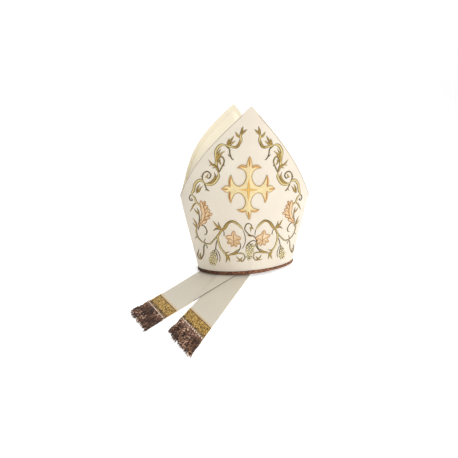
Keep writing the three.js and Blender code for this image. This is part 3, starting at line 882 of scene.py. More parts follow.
def satin_cloth(name, colour, shade, weave, length=None, overlap=None):
    """Fine cloth: warp and weft, slubs, a faint unevenness, on a strip a far end greyed as painted
    shade, and a painted shadow along an overlapping edge.
    """
    paint = Paint(name)
    uv, along, up = paint.uv(), paint.along(), paint.across()
    warp = (along * (2 * math.pi / weave)).sine()
    weft = (up * (2 * math.pi / weave)).sine()
    threads = warp * weft
    slubs = paint.noise(paint.stretch(uv, (900.0, 90.0, 1.0)), 1.0, 2.0)
    cloud = paint.noise(paint.place(), 14.0, 3.0)
    share = (cloud * 0.7 + slubs * 0.3 + threads * 0.06).ease(0.3, 0.72)
    relief = threads * 0.35 + slubs * 0.8 + paint.noise(paint.place(), 60.0, 2.0) * 1.5
    gloss = 0.5 + slubs * 0.22
    cream = paint.blend(share, shade, colour)
    # Painted shade: a strip greys towards its far end
    if length:
        cream = paint.blend((up / length).ease(0.2, 0.9), cream, [c * 0.8 for c in shade])
    if overlap:
        # Painted shadow: the cut edge where this lappet lies on the other is painted near black
        edge, end = overlap
        painted_shadow = along.ease(edge - 0.0002, edge) * (1 - up.ease(end - 0.004, end))
        cream = paint.blend(painted_shadow, cream, (0.06, 0.055, 0.04))
    return paint.finish(
        cream, gloss, relief, 0.35, 0.00035, Sheen_Weight=0.25, Sheen_Roughness=0.45)


def sewn_thread(name, edge, core, stitch, metal):
    """Laid threads: darker outline, lighter middle, slanted stitches and uneven gold."""
    paint = Paint(name)
    along, across = paint.along(), paint.across()
    edgeness = across.absolute().ease(0.4, 0.75)
    stitches = ((along * (2 * math.pi / stitch)) + across * 2.2).sine()
    patches = paint.noise(paint.place(), 160.0, 2.0)
    share = (1 - edgeness) * (paint.tone() * 0.95 + 0.05) + (patches - 0.5) * 0.6
    share = (share + stitches * 0.1).ease(0.0, 0.9)
    relief = stitches * 0.5 + patches
    return paint.finish(
        paint.blend(share, edge, core), 0.42 + patches * 0.2, relief, 0.5, 0.0004,
        Metallic=metal, Specular_IOR_Level=0.25)


def brocade_cloth(name, gold, brown, line):
    """Gold brocade: winding raised lines on brown, with one thin dark line near the top."""
    paint = Paint(name)
    uv, up = paint.uv(), paint.across()
    drift = paint.noise(paint.stretch(uv, (150.0, 150.0, 150.0)), 1.0, 0.6)
    winding = (drift * 27.0).sine()
    grain = paint.noise(paint.stretch(uv, (800.0, 800.0, 1.0)), 1.0, 2.0)
    share = (winding * 0.8 + 0.5 + (grain - 0.5) * 1.4).ease(0.1, 0.9)
    cord = ((up - line).absolute() * 1000.0).ease(0.5, 1.2)
    border = 1 - up.ease(line - 0.0004, line)
    pattern = paint.blend(border, paint.blend(share, brown, gold), (0.66, 0.50, 0.31))
    colour = paint.blend(cord, (0.10, 0.055, 0.012), pattern)
    relief = winding * 0.6 + grain * 0.6 + cord * 1.2
    return paint.finish(colour, 0.4 + grain * 0.25, relief, 0.6, 0.0006, Metallic=0.2)


def plied_thread(name, dark, light, ply, metal, gloss, painted_shade=None, painted_glint=None):
    """Twisted thread: slanting plies round it, flecked from dark to light, with painted glints and a
    painted shade on the left where asked.
    """
    paint = Paint(name)
    along, across = paint.along(), paint.across()
    plies = ((along * (2 * math.pi / ply)) + across * (2 * math.pi)).sine()
    flecks = paint.noise(paint.place(), 330.0, 2.0)
    patches = paint.noise(paint.place(), 130.0, 2.0)
    share = (flecks - 0.5) * 3.0 + (patches - 0.5) * 1.4 + (paint.tone() - 0.5) * 0.9
    share = (share + plies * 0.12 + 0.4).ease(0.0, 1.0)
    colour = paint.blend(share, dark, light)
    # Painted highlights: sparse flecks blend to the glint colour; the dark cloud patches are random tone
    if painted_glint:
        clouds = paint.noise(paint.place(), 34.0, 2.0)
        colour = paint.blend(clouds.ease(0.47, 0.34) * 0.55, colour, dark)
        painted_highlight = (flecks + (paint.tone() - 0.5) * 0.25).ease(0.6, 0.68) * clouds.ease(0.4, 0.55)
        colour = paint.blend(painted_highlight, colour, painted_glint)
    if painted_shade:
        # Painted shade: the thread darkens towards the left of the frame, below near and far in x
        near, far = painted_shade
        across_mitre = paint.add(
            "ShaderNodeSeparateXYZ", None, {"Vector": paint.place()}, output="X")
        colour = paint.blend(across_mitre.ease(near, far), [c * 0.35 for c in dark], colour)
    return paint.finish(
        colour, gloss + flecks * 0.2, plies, 0.55, 0.0004, Metallic=metal)


# What a user may change


class MitreCloth(bpy.types.PropertyGroup):
    colour: bpy.props.FloatVectorProperty(
        name="Cloth", description="Cream of the panels", subtype="COLOR",
        default=(0.78, 0.71, 0.60), min=0, max=1)
    shade: bpy.props.FloatVectorProperty(
        name="Shade", description="Darker cream of the uneven places", subtype="COLOR",
        default=(0.73, 0.655, 0.54), min=0, max=1)
    lining: bpy.props.FloatVectorProperty(
        name="Gusset", description="Warm cream of the back peak and the gusset", subtype="COLOR",
        default=(0.90, 0.83, 0.66), min=0, max=1)
    lappet: bpy.props.FloatVectorProperty(
        name="Lappets", description="Greyer cream of the lappets", subtype="COLOR",
        default=(0.84, 0.775, 0.64), min=0, max=1)
    weave: bpy.props.FloatProperty(
        name="Weave", description="Distance between threads", unit="LENGTH", default=0.0007)


class MitreGold(bpy.types.PropertyGroup):
    stem: bpy.props.FloatVectorProperty(
        name="Stems", description="Olive gold of the stems", subtype="COLOR",
        default=(0.085, 0.055, 0.010), min=0, max=1)
    stem_core: bpy.props.FloatVectorProperty(
        name="Stem cores", description="Light gold between a stem's two lines", subtype="COLOR",
        default=(0.66, 0.53, 0.24), min=0, max=1)
    peach: bpy.props.FloatVectorProperty(
        name="Warm leaves", description="Peach of the large leaves", subtype="COLOR",
        default=(0.80, 0.63, 0.42), min=0, max=1)
    cross: bpy.props.FloatVectorProperty(
        name="Cross", description="Light gold of the cross", subtype="COLOR",
        default=(0.83, 0.68, 0.37), min=0, max=1)
    cross_line: bpy.props.FloatVectorProperty(
        name="Cross outline", description="Gold of the cross's outline and star",
        subtype="COLOR", default=(0.56, 0.35, 0.10), min=0, max=1)
    relief: bpy.props.FloatProperty(
        name="Relief", description="Height of the embroidery", unit="LENGTH", default=0.0007)


class MitreBraid(bpy.types.PropertyGroup):
    colour: bpy.props.FloatVectorProperty(
        name="Braid", description="Copper brown of the rim's braid", subtype="COLOR",
        default=(0.27, 0.10, 0.042), min=0, max=1)
    pitch: bpy.props.FloatProperty(
        name="Plait", description="Length of one turn of the plait", unit="LENGTH", default=0.013)


class MitreFringe(bpy.types.PropertyGroup):
    strands: bpy.props.IntProperty(
        name="Strands", description="Twisted strands in each fringe", default=210, min=20)
    length: bpy.props.FloatProperty(
        name="Length", description="Length of the strands", unit="LENGTH", default=0.0395)
    thickness: bpy.props.FloatProperty(
        name="Thickness", description="Thickness of a strand", unit="LENGTH", default=0.0013)
    dark: bpy.props.FloatVectorProperty(
        name="Dark", description="Dark brown of the strands", subtype="COLOR",
        default=(0.025, 0.009, 0.006), min=0, max=1)
    light: bpy.props.FloatVectorProperty(
        name="Light", description="Bronze of the strands", subtype="COLOR",
        default=(0.36, 0.18, 0.10), min=0, max=1)


class MitreStage(bpy.types.PropertyGroup):
    floor: bpy.props.FloatVectorProperty(
        name="Floor", description="Pale floor", subtype="COLOR",
        default=(0.95, 0.95, 0.95), min=0, max=1)
    glow: bpy.props.FloatProperty(
        name="Floor glow", description="Light that the floor gives back", default=0.42)
    key: bpy.props.FloatProperty(
        name="Key light", description="Power of the large lamp on the right", unit="POWER",
        default=26.0)
    sky: bpy.props.FloatProperty(
        name="Sky", description="Strength of the even light all round", default=0.46)


# The stage


def add_lamp(name, key_power, place, target, size, share, colour):
    deselect()
    bpy.ops.object.light_add(type="AREA", location=place)
    lamp = bpy.context.object
    lamp.name = name
    lamp.data.size = size
    lamp.data.energy = key_power * share
    lamp.data.color = colour
    aim = Vector(target) - Vector(place)
    lamp.rotation_euler = aim.to_track_quat("-Z", "Y").to_euler()


class MITRE_OT_stage(bpy.types.Operator):
    """The floor, the soft light and the camera at the photograph's angle"""

    bl_idname = "mitre.stage"
    bl_label = "Stage"

    def execute(self, context):
        stage = settings("mitre_stage")
        deselect()
        bpy.ops.mesh.primitive_plane_add(size=12, location=(0, 0, -0.0002))
        floor = context.object
        floor.name = "floor"
        paint = Paint("pale floor")
        grain = paint.noise(paint.place(), 30.0, 2.0)
        colour = paint.blend(grain, [c * 0.985 for c in stage.floor], tuple(stage.floor))
        floor.data.materials.append(paint.finish(
            colour, 0.9, Emission_Color=(1, 1, 1), Emission_Strength=stage.glow))
        self.raise_back(floor)
        for name, lamp in LAMPS.items():
            add_lamp(name, stage.key, **lamp)
        world = bpy.data.worlds.new("even light")
        context.scene.world = world
        world.use_nodes = True
        world.node_tree.nodes["Background"].inputs["Color"].default_value = (1, 1, 1, 1)
        world.node_tree.nodes["Background"].inputs["Strength"].default_value = stage.sky
        context.scene.view_settings.view_transform = "Standard"
        self.add_camera(context)
        return {"FINISHED"}

    def raise_back(self, floor):
        """Turns the floor's far edge up into a backdrop with a round foot."""
        bpy.ops.object.mode_set(mode="EDIT")
        bpy.ops.mesh.select_all(action="DESELECT")
        work = bmesh.from_edit_mesh(floor.data)
        for edge in work.edges:
            edge.select_set(all(vertex.co.y > 1 for vertex in edge.verts))
        bmesh.update_edit_mesh(floor.data)
        bpy.ops.mesh.extrude_region_move(TRANSFORM_OT_translate={"value": (0, 0, 6)})
        bpy.ops.object.mode_set(mode="OBJECT")
        apply_modifier(
            floor, "BEVEL", width=1.5, segments=16, limit_method="ANGLE",
            angle_limit=math.radians(40))
        smooth_faces(floor)

    def add_camera(self, context):
        """Looks down at the crown, turned a little to one side and rolled by a hair."""
        turn, tilt, roll = (math.radians(CAMERA[key]) for key in ("turn", "tilt", "roll"))
        back = Vector((
            math.sin(turn) * math.cos(tilt), -math.cos(turn) * math.cos(tilt), math.sin(tilt)))
        level = Vector((0, 0, 1)).cross(back).normalized()
        upright = back.cross(level)
        right = level * math.cos(roll) + upright * math.sin(roll)
        up = upright * math.cos(roll) - level * math.sin(roll)
        place = (Vector(CAMERA["place"]) + Vector(PLACE)) * MM
        camera = bpy.data.objects.new("camera", bpy.data.cameras.new("camera"))
        context.scene.collection.objects.link(camera)
        camera.matrix_world = Matrix((
            (right.x, up.x, back.x, place.x),
            (right.y, up.y, back.y, place.y),
            (right.z, up.z, back.z, place.z),
            (0, 0, 0, 1)))
        camera.data.sensor_width = CAMERA["sensor"]
        camera.data.lens = CAMERA["lens"]
        camera.data.clip_start = 0.01
        camera.data.clip_end = 30
        context.scene.camera = camera


# The crown


class MITRE_OT_panels(bpy.types.Operator):
    """The stiff front and back panels of cream cloth"""

    bl_idname = "mitre.panels"
    bl_label = "Front and back panels"

    def execute(self, context):
        cloth = settings("mitre_cloth")
        for panel in ("front", "back"):
            piece = grid_piece(
                f"{panel}_panel_cloth", 76, 88, lambda u, v: self.shape(panel, u, v),
                (0.27, 0.345))
            outwards = (0, -1, 0) if panel == "front" else (0, 1, 0)
            thicken(piece, outwards, WALL, bevel=0.8, segments=3, even=True)
            colours = (cloth.colour, cloth.shade)
            if panel == "back":
                colours = (cloth.lining, shaded(cloth.lining))
            piece.data.materials.append(
                satin_cloth(f"{panel} panel satin", *map(tuple, colours), cloth.weave))
            finish_piece(piece, (f"{panel}_panel",))
        return {"FINISHED"}

    def shape(self, panel, u, v):
        """Where the grid's points stand on a panel, from the lifted rim to the peak."""
        height = v * APEX_HEIGHT
        left, right = panel_span(panel, height)
        lift = rim_lift(panel, mix(left, right, u))
        height = lift + (APEX_HEIGHT - lift) * v
        left, right = panel_span(panel, height)
        angle = mix(left, right, u)
        if panel == "back":
            return crown_offset(panel, angle, height, 0)
        flat_x = np.sign(angle) * half_width(angle, height) * np.abs(
            np.sin(angle * math.pi / 2)) ** (2 / PLAN_POWER)
        return crown_offset(panel, angle, height, ridge(flat_x, height))


class MITRE_OT_gusset(bpy.types.Operator):
    """The soft cloth that hangs between the two peaks"""

    bl_idname = "mitre.gusset"
    bl_label = "Gusset"

    def execute(self, context):
        cloth = settings("mitre_cloth")
        piece = grid_piece("crown_gusset_cloth", 110, 44, self.shape, (0.44, 0.24))
        thicken(piece, (0, 0, 1), GUSSET_THICKNESS)
        piece.data.materials.append(satin_cloth(
            "gusset satin", tuple(cloth.lining), shaded(cloth.lining), cloth.weave))
        finish_piece(piece, ("crown_gusset",))
        return {"FINISHED"}

    def drop(self, along):
        """How far the seam runs below the edge, less at the corners."""
        return mix(GUSSET_SEAM_DROP, GUSSET_CORNER_DROP, np.abs(along) ** 5)

    def seam(self, panel, along):
        """The gusset's seam on the inner face of a panel, below the panel's edge."""
        top = mix(CORNER_HEIGHT, APEX_HEIGHT, 1 - np.abs(along))
        height = top - self.drop(along)
        limit = 1 - GUSSET_END_INSET
        edge = np.where(along < 0, edge_x(panel, top, -1), edge_x(panel, top, 1))
        angle = np.clip(angle_of(edge, height), -limit, limit)
        proud = mix(SEAM_STEP, -SEAM_DEPTH, np.abs(along) ** 6)
        return crown_offset(panel, angle, height, -WALL - proud)

    def shape(self, u, v):
        along, across = 2 * u - 1, 2 * v - 1
        front, back = self.seam("front", along), self.seam("back", along)
        valley = mix(CORNER_HEIGHT - self.drop(along), GUSSET_VALLEY_HEIGHT,
                     smooth((1 - np.abs(along)) * 1.6))
        points = mix(front, back, v[:, None])
        rim = np.where(across < 0, front[:, 2], back[:, 2])
        points[:, 2] = mix(valley, rim, np.abs(across) ** GUSSET_ROUNDING)
        hang = (1 - np.abs(across) ** 2) * (1 - along ** 6)
        points[:, 2] += hang * (0.8 * np.sin(along * 9) + 0.5 * np.sin(along * 23 + across * 3))
        return points


class MITRE_OT_rim_braid(bpy.types.Operator):
    """Three copper strands plaited round the rim over a flat tape"""

    bl_idname = "mitre.rim_braid"
    bl_label = "Rim braid"
    stations = 560

    def execute(self, context):
        braid = settings("mitre_braid")
        share = np.linspace(0, 4, self.stations, endpoint=False)
        front = share < 2
        angle = np.where(front, share - 1, 3 - share)
        middle = self.at(front, angle, BRAID_HEIGHT / 2, CLEARANCE)
        step = np.linalg.norm(np.roll(middle, -1, 0) - middle, axis=1)
        run = np.concatenate(((0,), np.cumsum(step)[:-1]))
        turns = round(step.sum() * MM / braid.pitch)
        phase = run / step.sum() * turns * 2 * math.pi
        pieces = Pieces()
        tape = ((0.2, 0.1), (0.2, 0.7), (1.0, 1.0), (BRAID_HEIGHT - 1, 1.0),
                (BRAID_HEIGHT - 0.2, 0.7), (BRAID_HEIGHT - 0.2, 0.1))
        rings = np.stack([self.at(front, angle, up, out) for up, out in tape], 1)
        along = np.broadcast_to(run[:, None] * MM, rings.shape[:2])
        uvs = np.stack((along, np.broadcast_to(np.linspace(0, 1, len(tape)), along.shape)), -1)
        pieces.tube(rings, uvs, 0.1, closed=True)
        for strand in range(3):
            pieces.tube(*self.strand(front, angle, run, phase + strand * 2 * math.pi / 3),
                        0.3 + 0.25 * strand, closed=True)
        self.turn_tape_in(pieces)
        piece = pieces.build("rim_braid_plait")
        colour = np.array(braid.colour)
        # The braid is painted darker on its left as shade, from x -0.09 to 0.06 m
        piece.data.materials.append(plied_thread(
            "copper braid", tuple(colour * 0.35), tuple(np.minimum(colour * 1.7 + 0.02, 1)),
            0.0016, 0.15, 0.4, (-0.09, 0.06)))
        finish_piece(piece, ("rim_braid",))
        return {"FINISHED"}

    def turn_tape_in(self, pieces):
        """The tape's lower edge, turned in under the lifted front of the rim; darker from the braid's
        painted shade on the left and the real shade under the rim.
        """
        stations = TURNED_EDGE["stations"]
        angle = np.linspace(TURNED_EDGE["from"], TURNED_EDGE["to"], stations)
        share = np.linspace(0.02, 0.98, stations)
        hang = TURNED_EDGE["depth"] * np.sin(math.pi * share ** 1.6) ** 0.6
        front = np.ones(stations, bool)
        corners = ((0.1, 0.2), (0.1, -1.9), (-0.75, -2.0), (-1.0, -1.2), (-1.0, -0.4), (-0.6, 0.1))
        rings = np.stack([
            self.at(front, angle, up if up > 0 else up * hang, out) for up, out in corners], 1)
        run = np.broadcast_to((angle * 0.12)[:, None], rings.shape[:2])
        uvs = np.stack((run, np.broadcast_to(np.linspace(0, 1, len(corners)), run.shape)), -1)
        pieces.tube(rings, uvs, 0.35)

    def at(self, front, angle, up, out):
        """Points of the braid at a height over its lower edge and a distance from the cloth."""
        low = {p: rim_lift(p, angle) + BRAID_LIFT + up for p in ("front", "back")}
        ends = {p: crown_offset(p, angle, low[p], out) for p in ("front", "back")}
        return np.where(front[:, None], ends["front"], ends["back"])

    def strand(self, front, angle, run, phase):
        radius, reach = 1.5, BRAID_HEIGHT / 2 - 1.6
        up = BRAID_HEIGHT / 2 + reach * np.sin(phase)
        out = 1.35 + 0.55 * np.sin(2 * phase)
        turns = np.linspace(0, 2 * math.pi, 8, endpoint=False)
        rings = np.stack([
            self.at(front, angle, up + radius * np.cos(t), out + 0.75 * np.sin(t))
            for t in turns], 1)
        uvs = np.stack(np.broadcast_arrays(run[:, None] * MM, turns[None, :] / (2 * math.pi)), -1)
        return rings, uvs


class MITRE_OT_cross(bpy.types.Operator):
    """The padded cross with its corded outline, dark horns and star"""

    bl_idname = "mitre.cross"
    bl_label = "Cross"

    def execute(self, context):
        gold = settings("mitre_gold")
        stretches = cross_edges()
        outline = np.concatenate([points[:-1] for _, points in stretches])
        lift = np.array((0, CROSS_HEIGHT))
        pad = sewn_pad("cross_pad", [outline + lift])
        light = np.array(gold.cross)
        line = np.array(gold.cross_line)
        pad.data.materials.append(cross_satin("cross satin", tuple(light), tuple(light * 0.86)))
        finish_piece(pad, ("embroidered_cross",))
        cords = Pieces()
        for kind, points in stretches:
            width = 1.5 if kind == "bite" else 1.2
            rings = stroke_rings(
                points + lift, np.full(len(points), width), 0.5, 0.1, CROSS_LEVELS["outline"])
            cords.tube(*rings, 0.0 if kind == "bite" else 0.4)
        finish_cords = cords.build("cross_outline")
        finish_cords.data.materials.append(sewn_thread(
            "cross cord gold", tuple(line * 0.75), tuple(line), 0.0009, 0.25))
        finish_piece(finish_cords)
        self.sew_shading(lift, line)
        return {"FINISHED"}

    def sew_shading(self, lift, line):
        """The star at the middle, and the darker stitches in the horns and tips."""
        star, horns = Pieces(), Pieces()
        for direction, length in CROSS_ARMS.items():
            turn = math.radians(direction)
            along = np.array((math.cos(turn), math.sin(turn)))
            reach = length * (0.38 if direction % 180 else 0.36)
            points = spline(np.array((along * -2.5, along * reach / 2, along * reach)), 1.0)
            share = np.linspace(0, 1, len(points))
            widths = 6.6 * (1 - share) ** 0.9 + 0.5
            star.tube(
                *stroke_rings(points + lift, widths, 0.5, -0.25, CROSS_LEVELS["star"]), 0.9)
            first = 0.76 if direction % 180 == 0 else 0.72
            tip = spline(np.array((along * length * first, along * length * 0.97)), 0.9)
            share = np.linspace(0, 1, len(tip))
            widths = 4.6 * np.sin(math.pi * (0.2 + 0.74 * share)) ** 0.8
            horns.tube(
                *stroke_rings(tip + lift, widths, 0.4, 0.5, CROSS_LEVELS["horn"]), 0.45)
        for across, up in QUARTERS:
            for kind, drawn in HORN_LINES.items():
                points = spline(np.array(drawn) * (across, up), 0.9)
                share = np.linspace(0, 1, len(points))
                widths = 4.4 * np.sin(math.pi * (0.24 + 0.7 * share)) ** 0.8
                tone = 0.5 if kind == "tall" else (0.0 if across < 0 else 0.35)
                horns.tube(
                    *stroke_rings(points + lift, widths, 0.4, 0.5, CROSS_LEVELS["horn"]), tone)
        piece = star.build("cross_star")
        piece.data.materials.append(sewn_thread(
            "star gold", tuple(line * 0.95), tuple(line * 1.35), 0.0011, 0.3))
        finish_piece(piece)
        piece = horns.build("cross_horns")
        piece.data.materials.append(horn_thread(
            "horn thread", (0.30, 0.085, 0.018), (0.80, 0.52, 0.20)))
        finish_piece(piece)


def cross_satin(name, light, dark):
    """Light gold satin of the cross, with fine stitches."""
    paint = Paint(name)
    along, across = paint.along(), paint.across()
    stitches = ((along + across) * (2 * math.pi / 0.0011)).sine()
    patches = paint.noise(paint.place(), 110.0, 3.0)
    share = (patches + stitches * 0.1).ease(0.25, 0.75)
    return paint.finish(
        paint.blend(share, dark, light), 0.4 + patches * 0.15, stitches * 0.5 + patches, 0.4,
        0.0003, Metallic=0.15)


def horn_thread(name, dark, light):
    """Shaded gold: dark in the middle of a horn and lighter at its edge, by each horn's tone."""
    paint = Paint(name)
    along, across = paint.along(), paint.across()
    core = 1 - across.absolute().ease(0.15, 0.65)
    patches = paint.noise(paint.place(), 240.0, 2.0)
    share = (1 - core * (1 - paint.tone() * 0.6) + (patches - 0.5) * 0.6).ease(0.1, 1.0)
    stitches = (along * (2 * math.pi / 0.0009) + across * 2.0).sine()
    return paint.finish(
        paint.blend(share, dark, light), 0.4, stitches, 0.4, 0.0003, Metallic=0.3)


class MITRE_OT_scrolls(bpy.types.Operator):
    """The scrolling stems, leaves and grapes round the cross"""

    bl_idname = "mitre.scrolls"
    bl_label = "Scrolls, leaves and grapes"

    def execute(self, context):
        gold = settings("mitre_gold")
        relief = gold.relief / MM
        stem, core, peach = (np.array(c) for c in (gold.stem, gold.stem_core, gold.peach))
        finishes = {
            "scroll_stems": sewn_thread("stem gold", tuple(stem), tuple(core), 0.0012, 0.1),
            "scroll_leaves": sewn_thread(
                "leaf gold", tuple(stem * 1.1), tuple(core * (0.78, 0.64, 0.4)), 0.0010, 0.1),
            "warm_leaf_veins": sewn_thread(
                "brown vein thread", (0.40, 0.19, 0.05), (0.60, 0.33, 0.11), 0.0010, 0.1),
            "grape_bunches": grape_thread("grape thread"),
        }
        made = {name: Pieces() for name in finishes}
        for strokes in (STEMS, other_side(STEMS), CENTRE_STEMS):
            sew_stems(made["scroll_stems"], strokes, relief)
        # A stitched seam just inside each edge of the front peak, in a darker thread as painted shade
        # along the edge
        edge_shade_seams = Pieces()
        heights = np.linspace(CORNER_HEIGHT - 4, APEX_HEIGHT - 12, 90)
        for side in (-1, 1):
            line = np.stack((edge_x("front", heights, side) - side * 1.3, heights - 0.6), -1)
            edge_shade_seams.tube(*stroke_rings(line, np.full(len(line), 0.8), 0.15, 0.2, 0.05), 0.2)
        piece = edge_shade_seams.build("edge_seams")
        piece.data.materials.append(sewn_thread(
            "seam thread", (0.38, 0.31, 0.22), (0.50, 0.43, 0.33), 0.0025, 0.0))
        finish_piece(piece)
        for strokes in (LEAVES, other_side(LEAVES), CENTRE_LEAVES):
            sew_leaves(made["scroll_leaves"], strokes, relief * 1.15)
        for veins in (ACANTHUS_VEINS, VINE_VEINS):
            for strokes in (veins, other_side(veins)):
                sew_stems(made["warm_leaf_veins"], strokes, 0.4, level=0.95)
        outlines = [bulged(drawn) for drawn in (ACANTHUS, VINE)]
        outlines += [mirrored(outline) for outline in outlines]
        for outline in outlines:
            line = spline(np.concatenate((outline, outline[:1])), 1.1)
            made["warm_leaf_veins"].tube(
                *stroke_rings(line, np.full(len(line), 1.4), 0.5, 0.1, 0.45), 0.4)
        for bunch in BUNCHES.values():
            sew_grapes(made["grape_bunches"], made["scroll_stems"], *bunch)
        for name, pieces in made.items():
            piece = pieces.build(name)
            piece.data.materials.append(finishes[name])
            finish_piece(piece)
        leaves = sewn_pad("warm_leaves", outlines)
        leaves.data.materials.append(cross_satin(
            "peach leaf satin", tuple(peach), tuple(peach * (0.86, 0.72, 0.56))))
        finish_piece(leaves)
        return {"FINISHED"}


def grape_thread(name):
    """Pale green gold grapes, darker round their rims."""
    paint = Paint(name)
    along, reach = paint.along(), paint.across()
    rim = reach.ease(0.62, 0.98)
    rings = (along * (2 * math.pi / 0.0007)).sine()
    share = ((1 - rim) * 0.9 + (paint.tone() - 0.5) * 0.5).ease(0.0, 1.0)
    colour = paint.blend(share, (0.25, 0.19, 0.05), (0.80, 0.70, 0.38))
    return paint.finish(colour, 0.45, rings, 0.35, 0.0003, Metallic=0.1)


# The lappets


class MITRE_OT_lappets(bpy.types.Operator):
    """The two cloth bands sewn inside the back rim and laid out in front"""

    bl_idname = "mitre.lappets"
    bl_label = "Lappets"

    def execute(self, context):
        cloth = settings("mitre_cloth")
        for side, lappet in LAPPETS.items():
            length = lappet["tab"] + lappet["floor"]
            piece = grid_piece(
                f"lappet_{side}_cloth", 40, 150, lambda u, v: self.shape(lappet, u, v),
                (0.07, length * MM))
            thicken(piece, (0, 0, 1), LAPPET_THICKNESS, bevel=0.6)
            piece.data.materials.append(satin_cloth(
                f"{side} lappet satin", tuple(cloth.lappet), shaded(cloth.lappet), cloth.weave,
                length * MM, self.overlap(lappet)))
            finish_piece(piece, (f"lappet_{side}",))
        return {"FINISHED"}

    def overlap(self, lappet):
        """The cut edge of the lappet that lies on the other, painted dark as the shadow there, and where
        it leaves it.
        """
        along = np.linspace(0, lappet["floor"], 300)
        painted_shadow = lappet_lift(lappet, lappet_plan(lappet, along, 1.0)) > UPPER_RISE / 2
        return (0.07, (lappet["tab"] + along[painted_shadow][-1]) * MM) if painted_shadow.any() else None

    def shape(self, lappet, u, v):
        """The lappet's upper face: down the back rim, round a small bend, then along the floor."""
        length = lappet["tab"] + lappet["floor"]
        run = v * length
        bend = np.array((0, lappet["tab"] - 8, lappet["tab"] - 3, lappet["tab"] + 2,
                         lappet["tab"] + 9, length + 1))
        along = np.interp(run, bend, (0, 0, 1.2, 4.5, 11, lappet["floor"]))
        level = np.interp(run, bend, (lappet["tab"], 8.5, 4.6, 2.4, LAPPET_THICKNESS,
                                      LAPPET_THICKNESS))
        across = 2 * u - 1
        points = on_lappet(lappet, along, across, level)
        points[:, 1] -= np.where(along < 0.6, LAPPET_THICKNESS * (1 - along / 0.6), 0)
        return points


class MITRE_OT_gold_bands(bpy.types.Operator):
    """The gold brocade band across the end of each lappet"""

    bl_idname = "mitre.gold_bands"
    bl_label = "Gold bands"

    def execute(self, context):
        for side, lappet in LAPPETS.items():
            width = 2 * lappet["half_end"]
            piece = grid_piece(
                f"gold_band_{side}_brocade", 60, 30, lambda u, v: self.shape(lappet, u, v),
                (width * MM, BAND_LENGTH * MM))
            thicken(piece, (0, 0, 1), BAND_THICKNESS, bevel=0.3)
            piece.data.materials.append(brocade_cloth(
                f"{side} brocade", (0.57, 0.36, 0.09), (0.16, 0.085, 0.014), 0.0048))
            finish_piece(piece, (f"gold_band_{side}",))
        return {"FINISHED"}

    def shape(self, lappet, u, v):
        along = lappet["floor"] - BAND_END - BAND_LENGTH * (1 - v)
        level = LAPPET_THICKNESS + CLEARANCE / 2 + BAND_THICKNESS
        return on_lappet(lappet, along, (2 * u - 1) * 0.998, level)


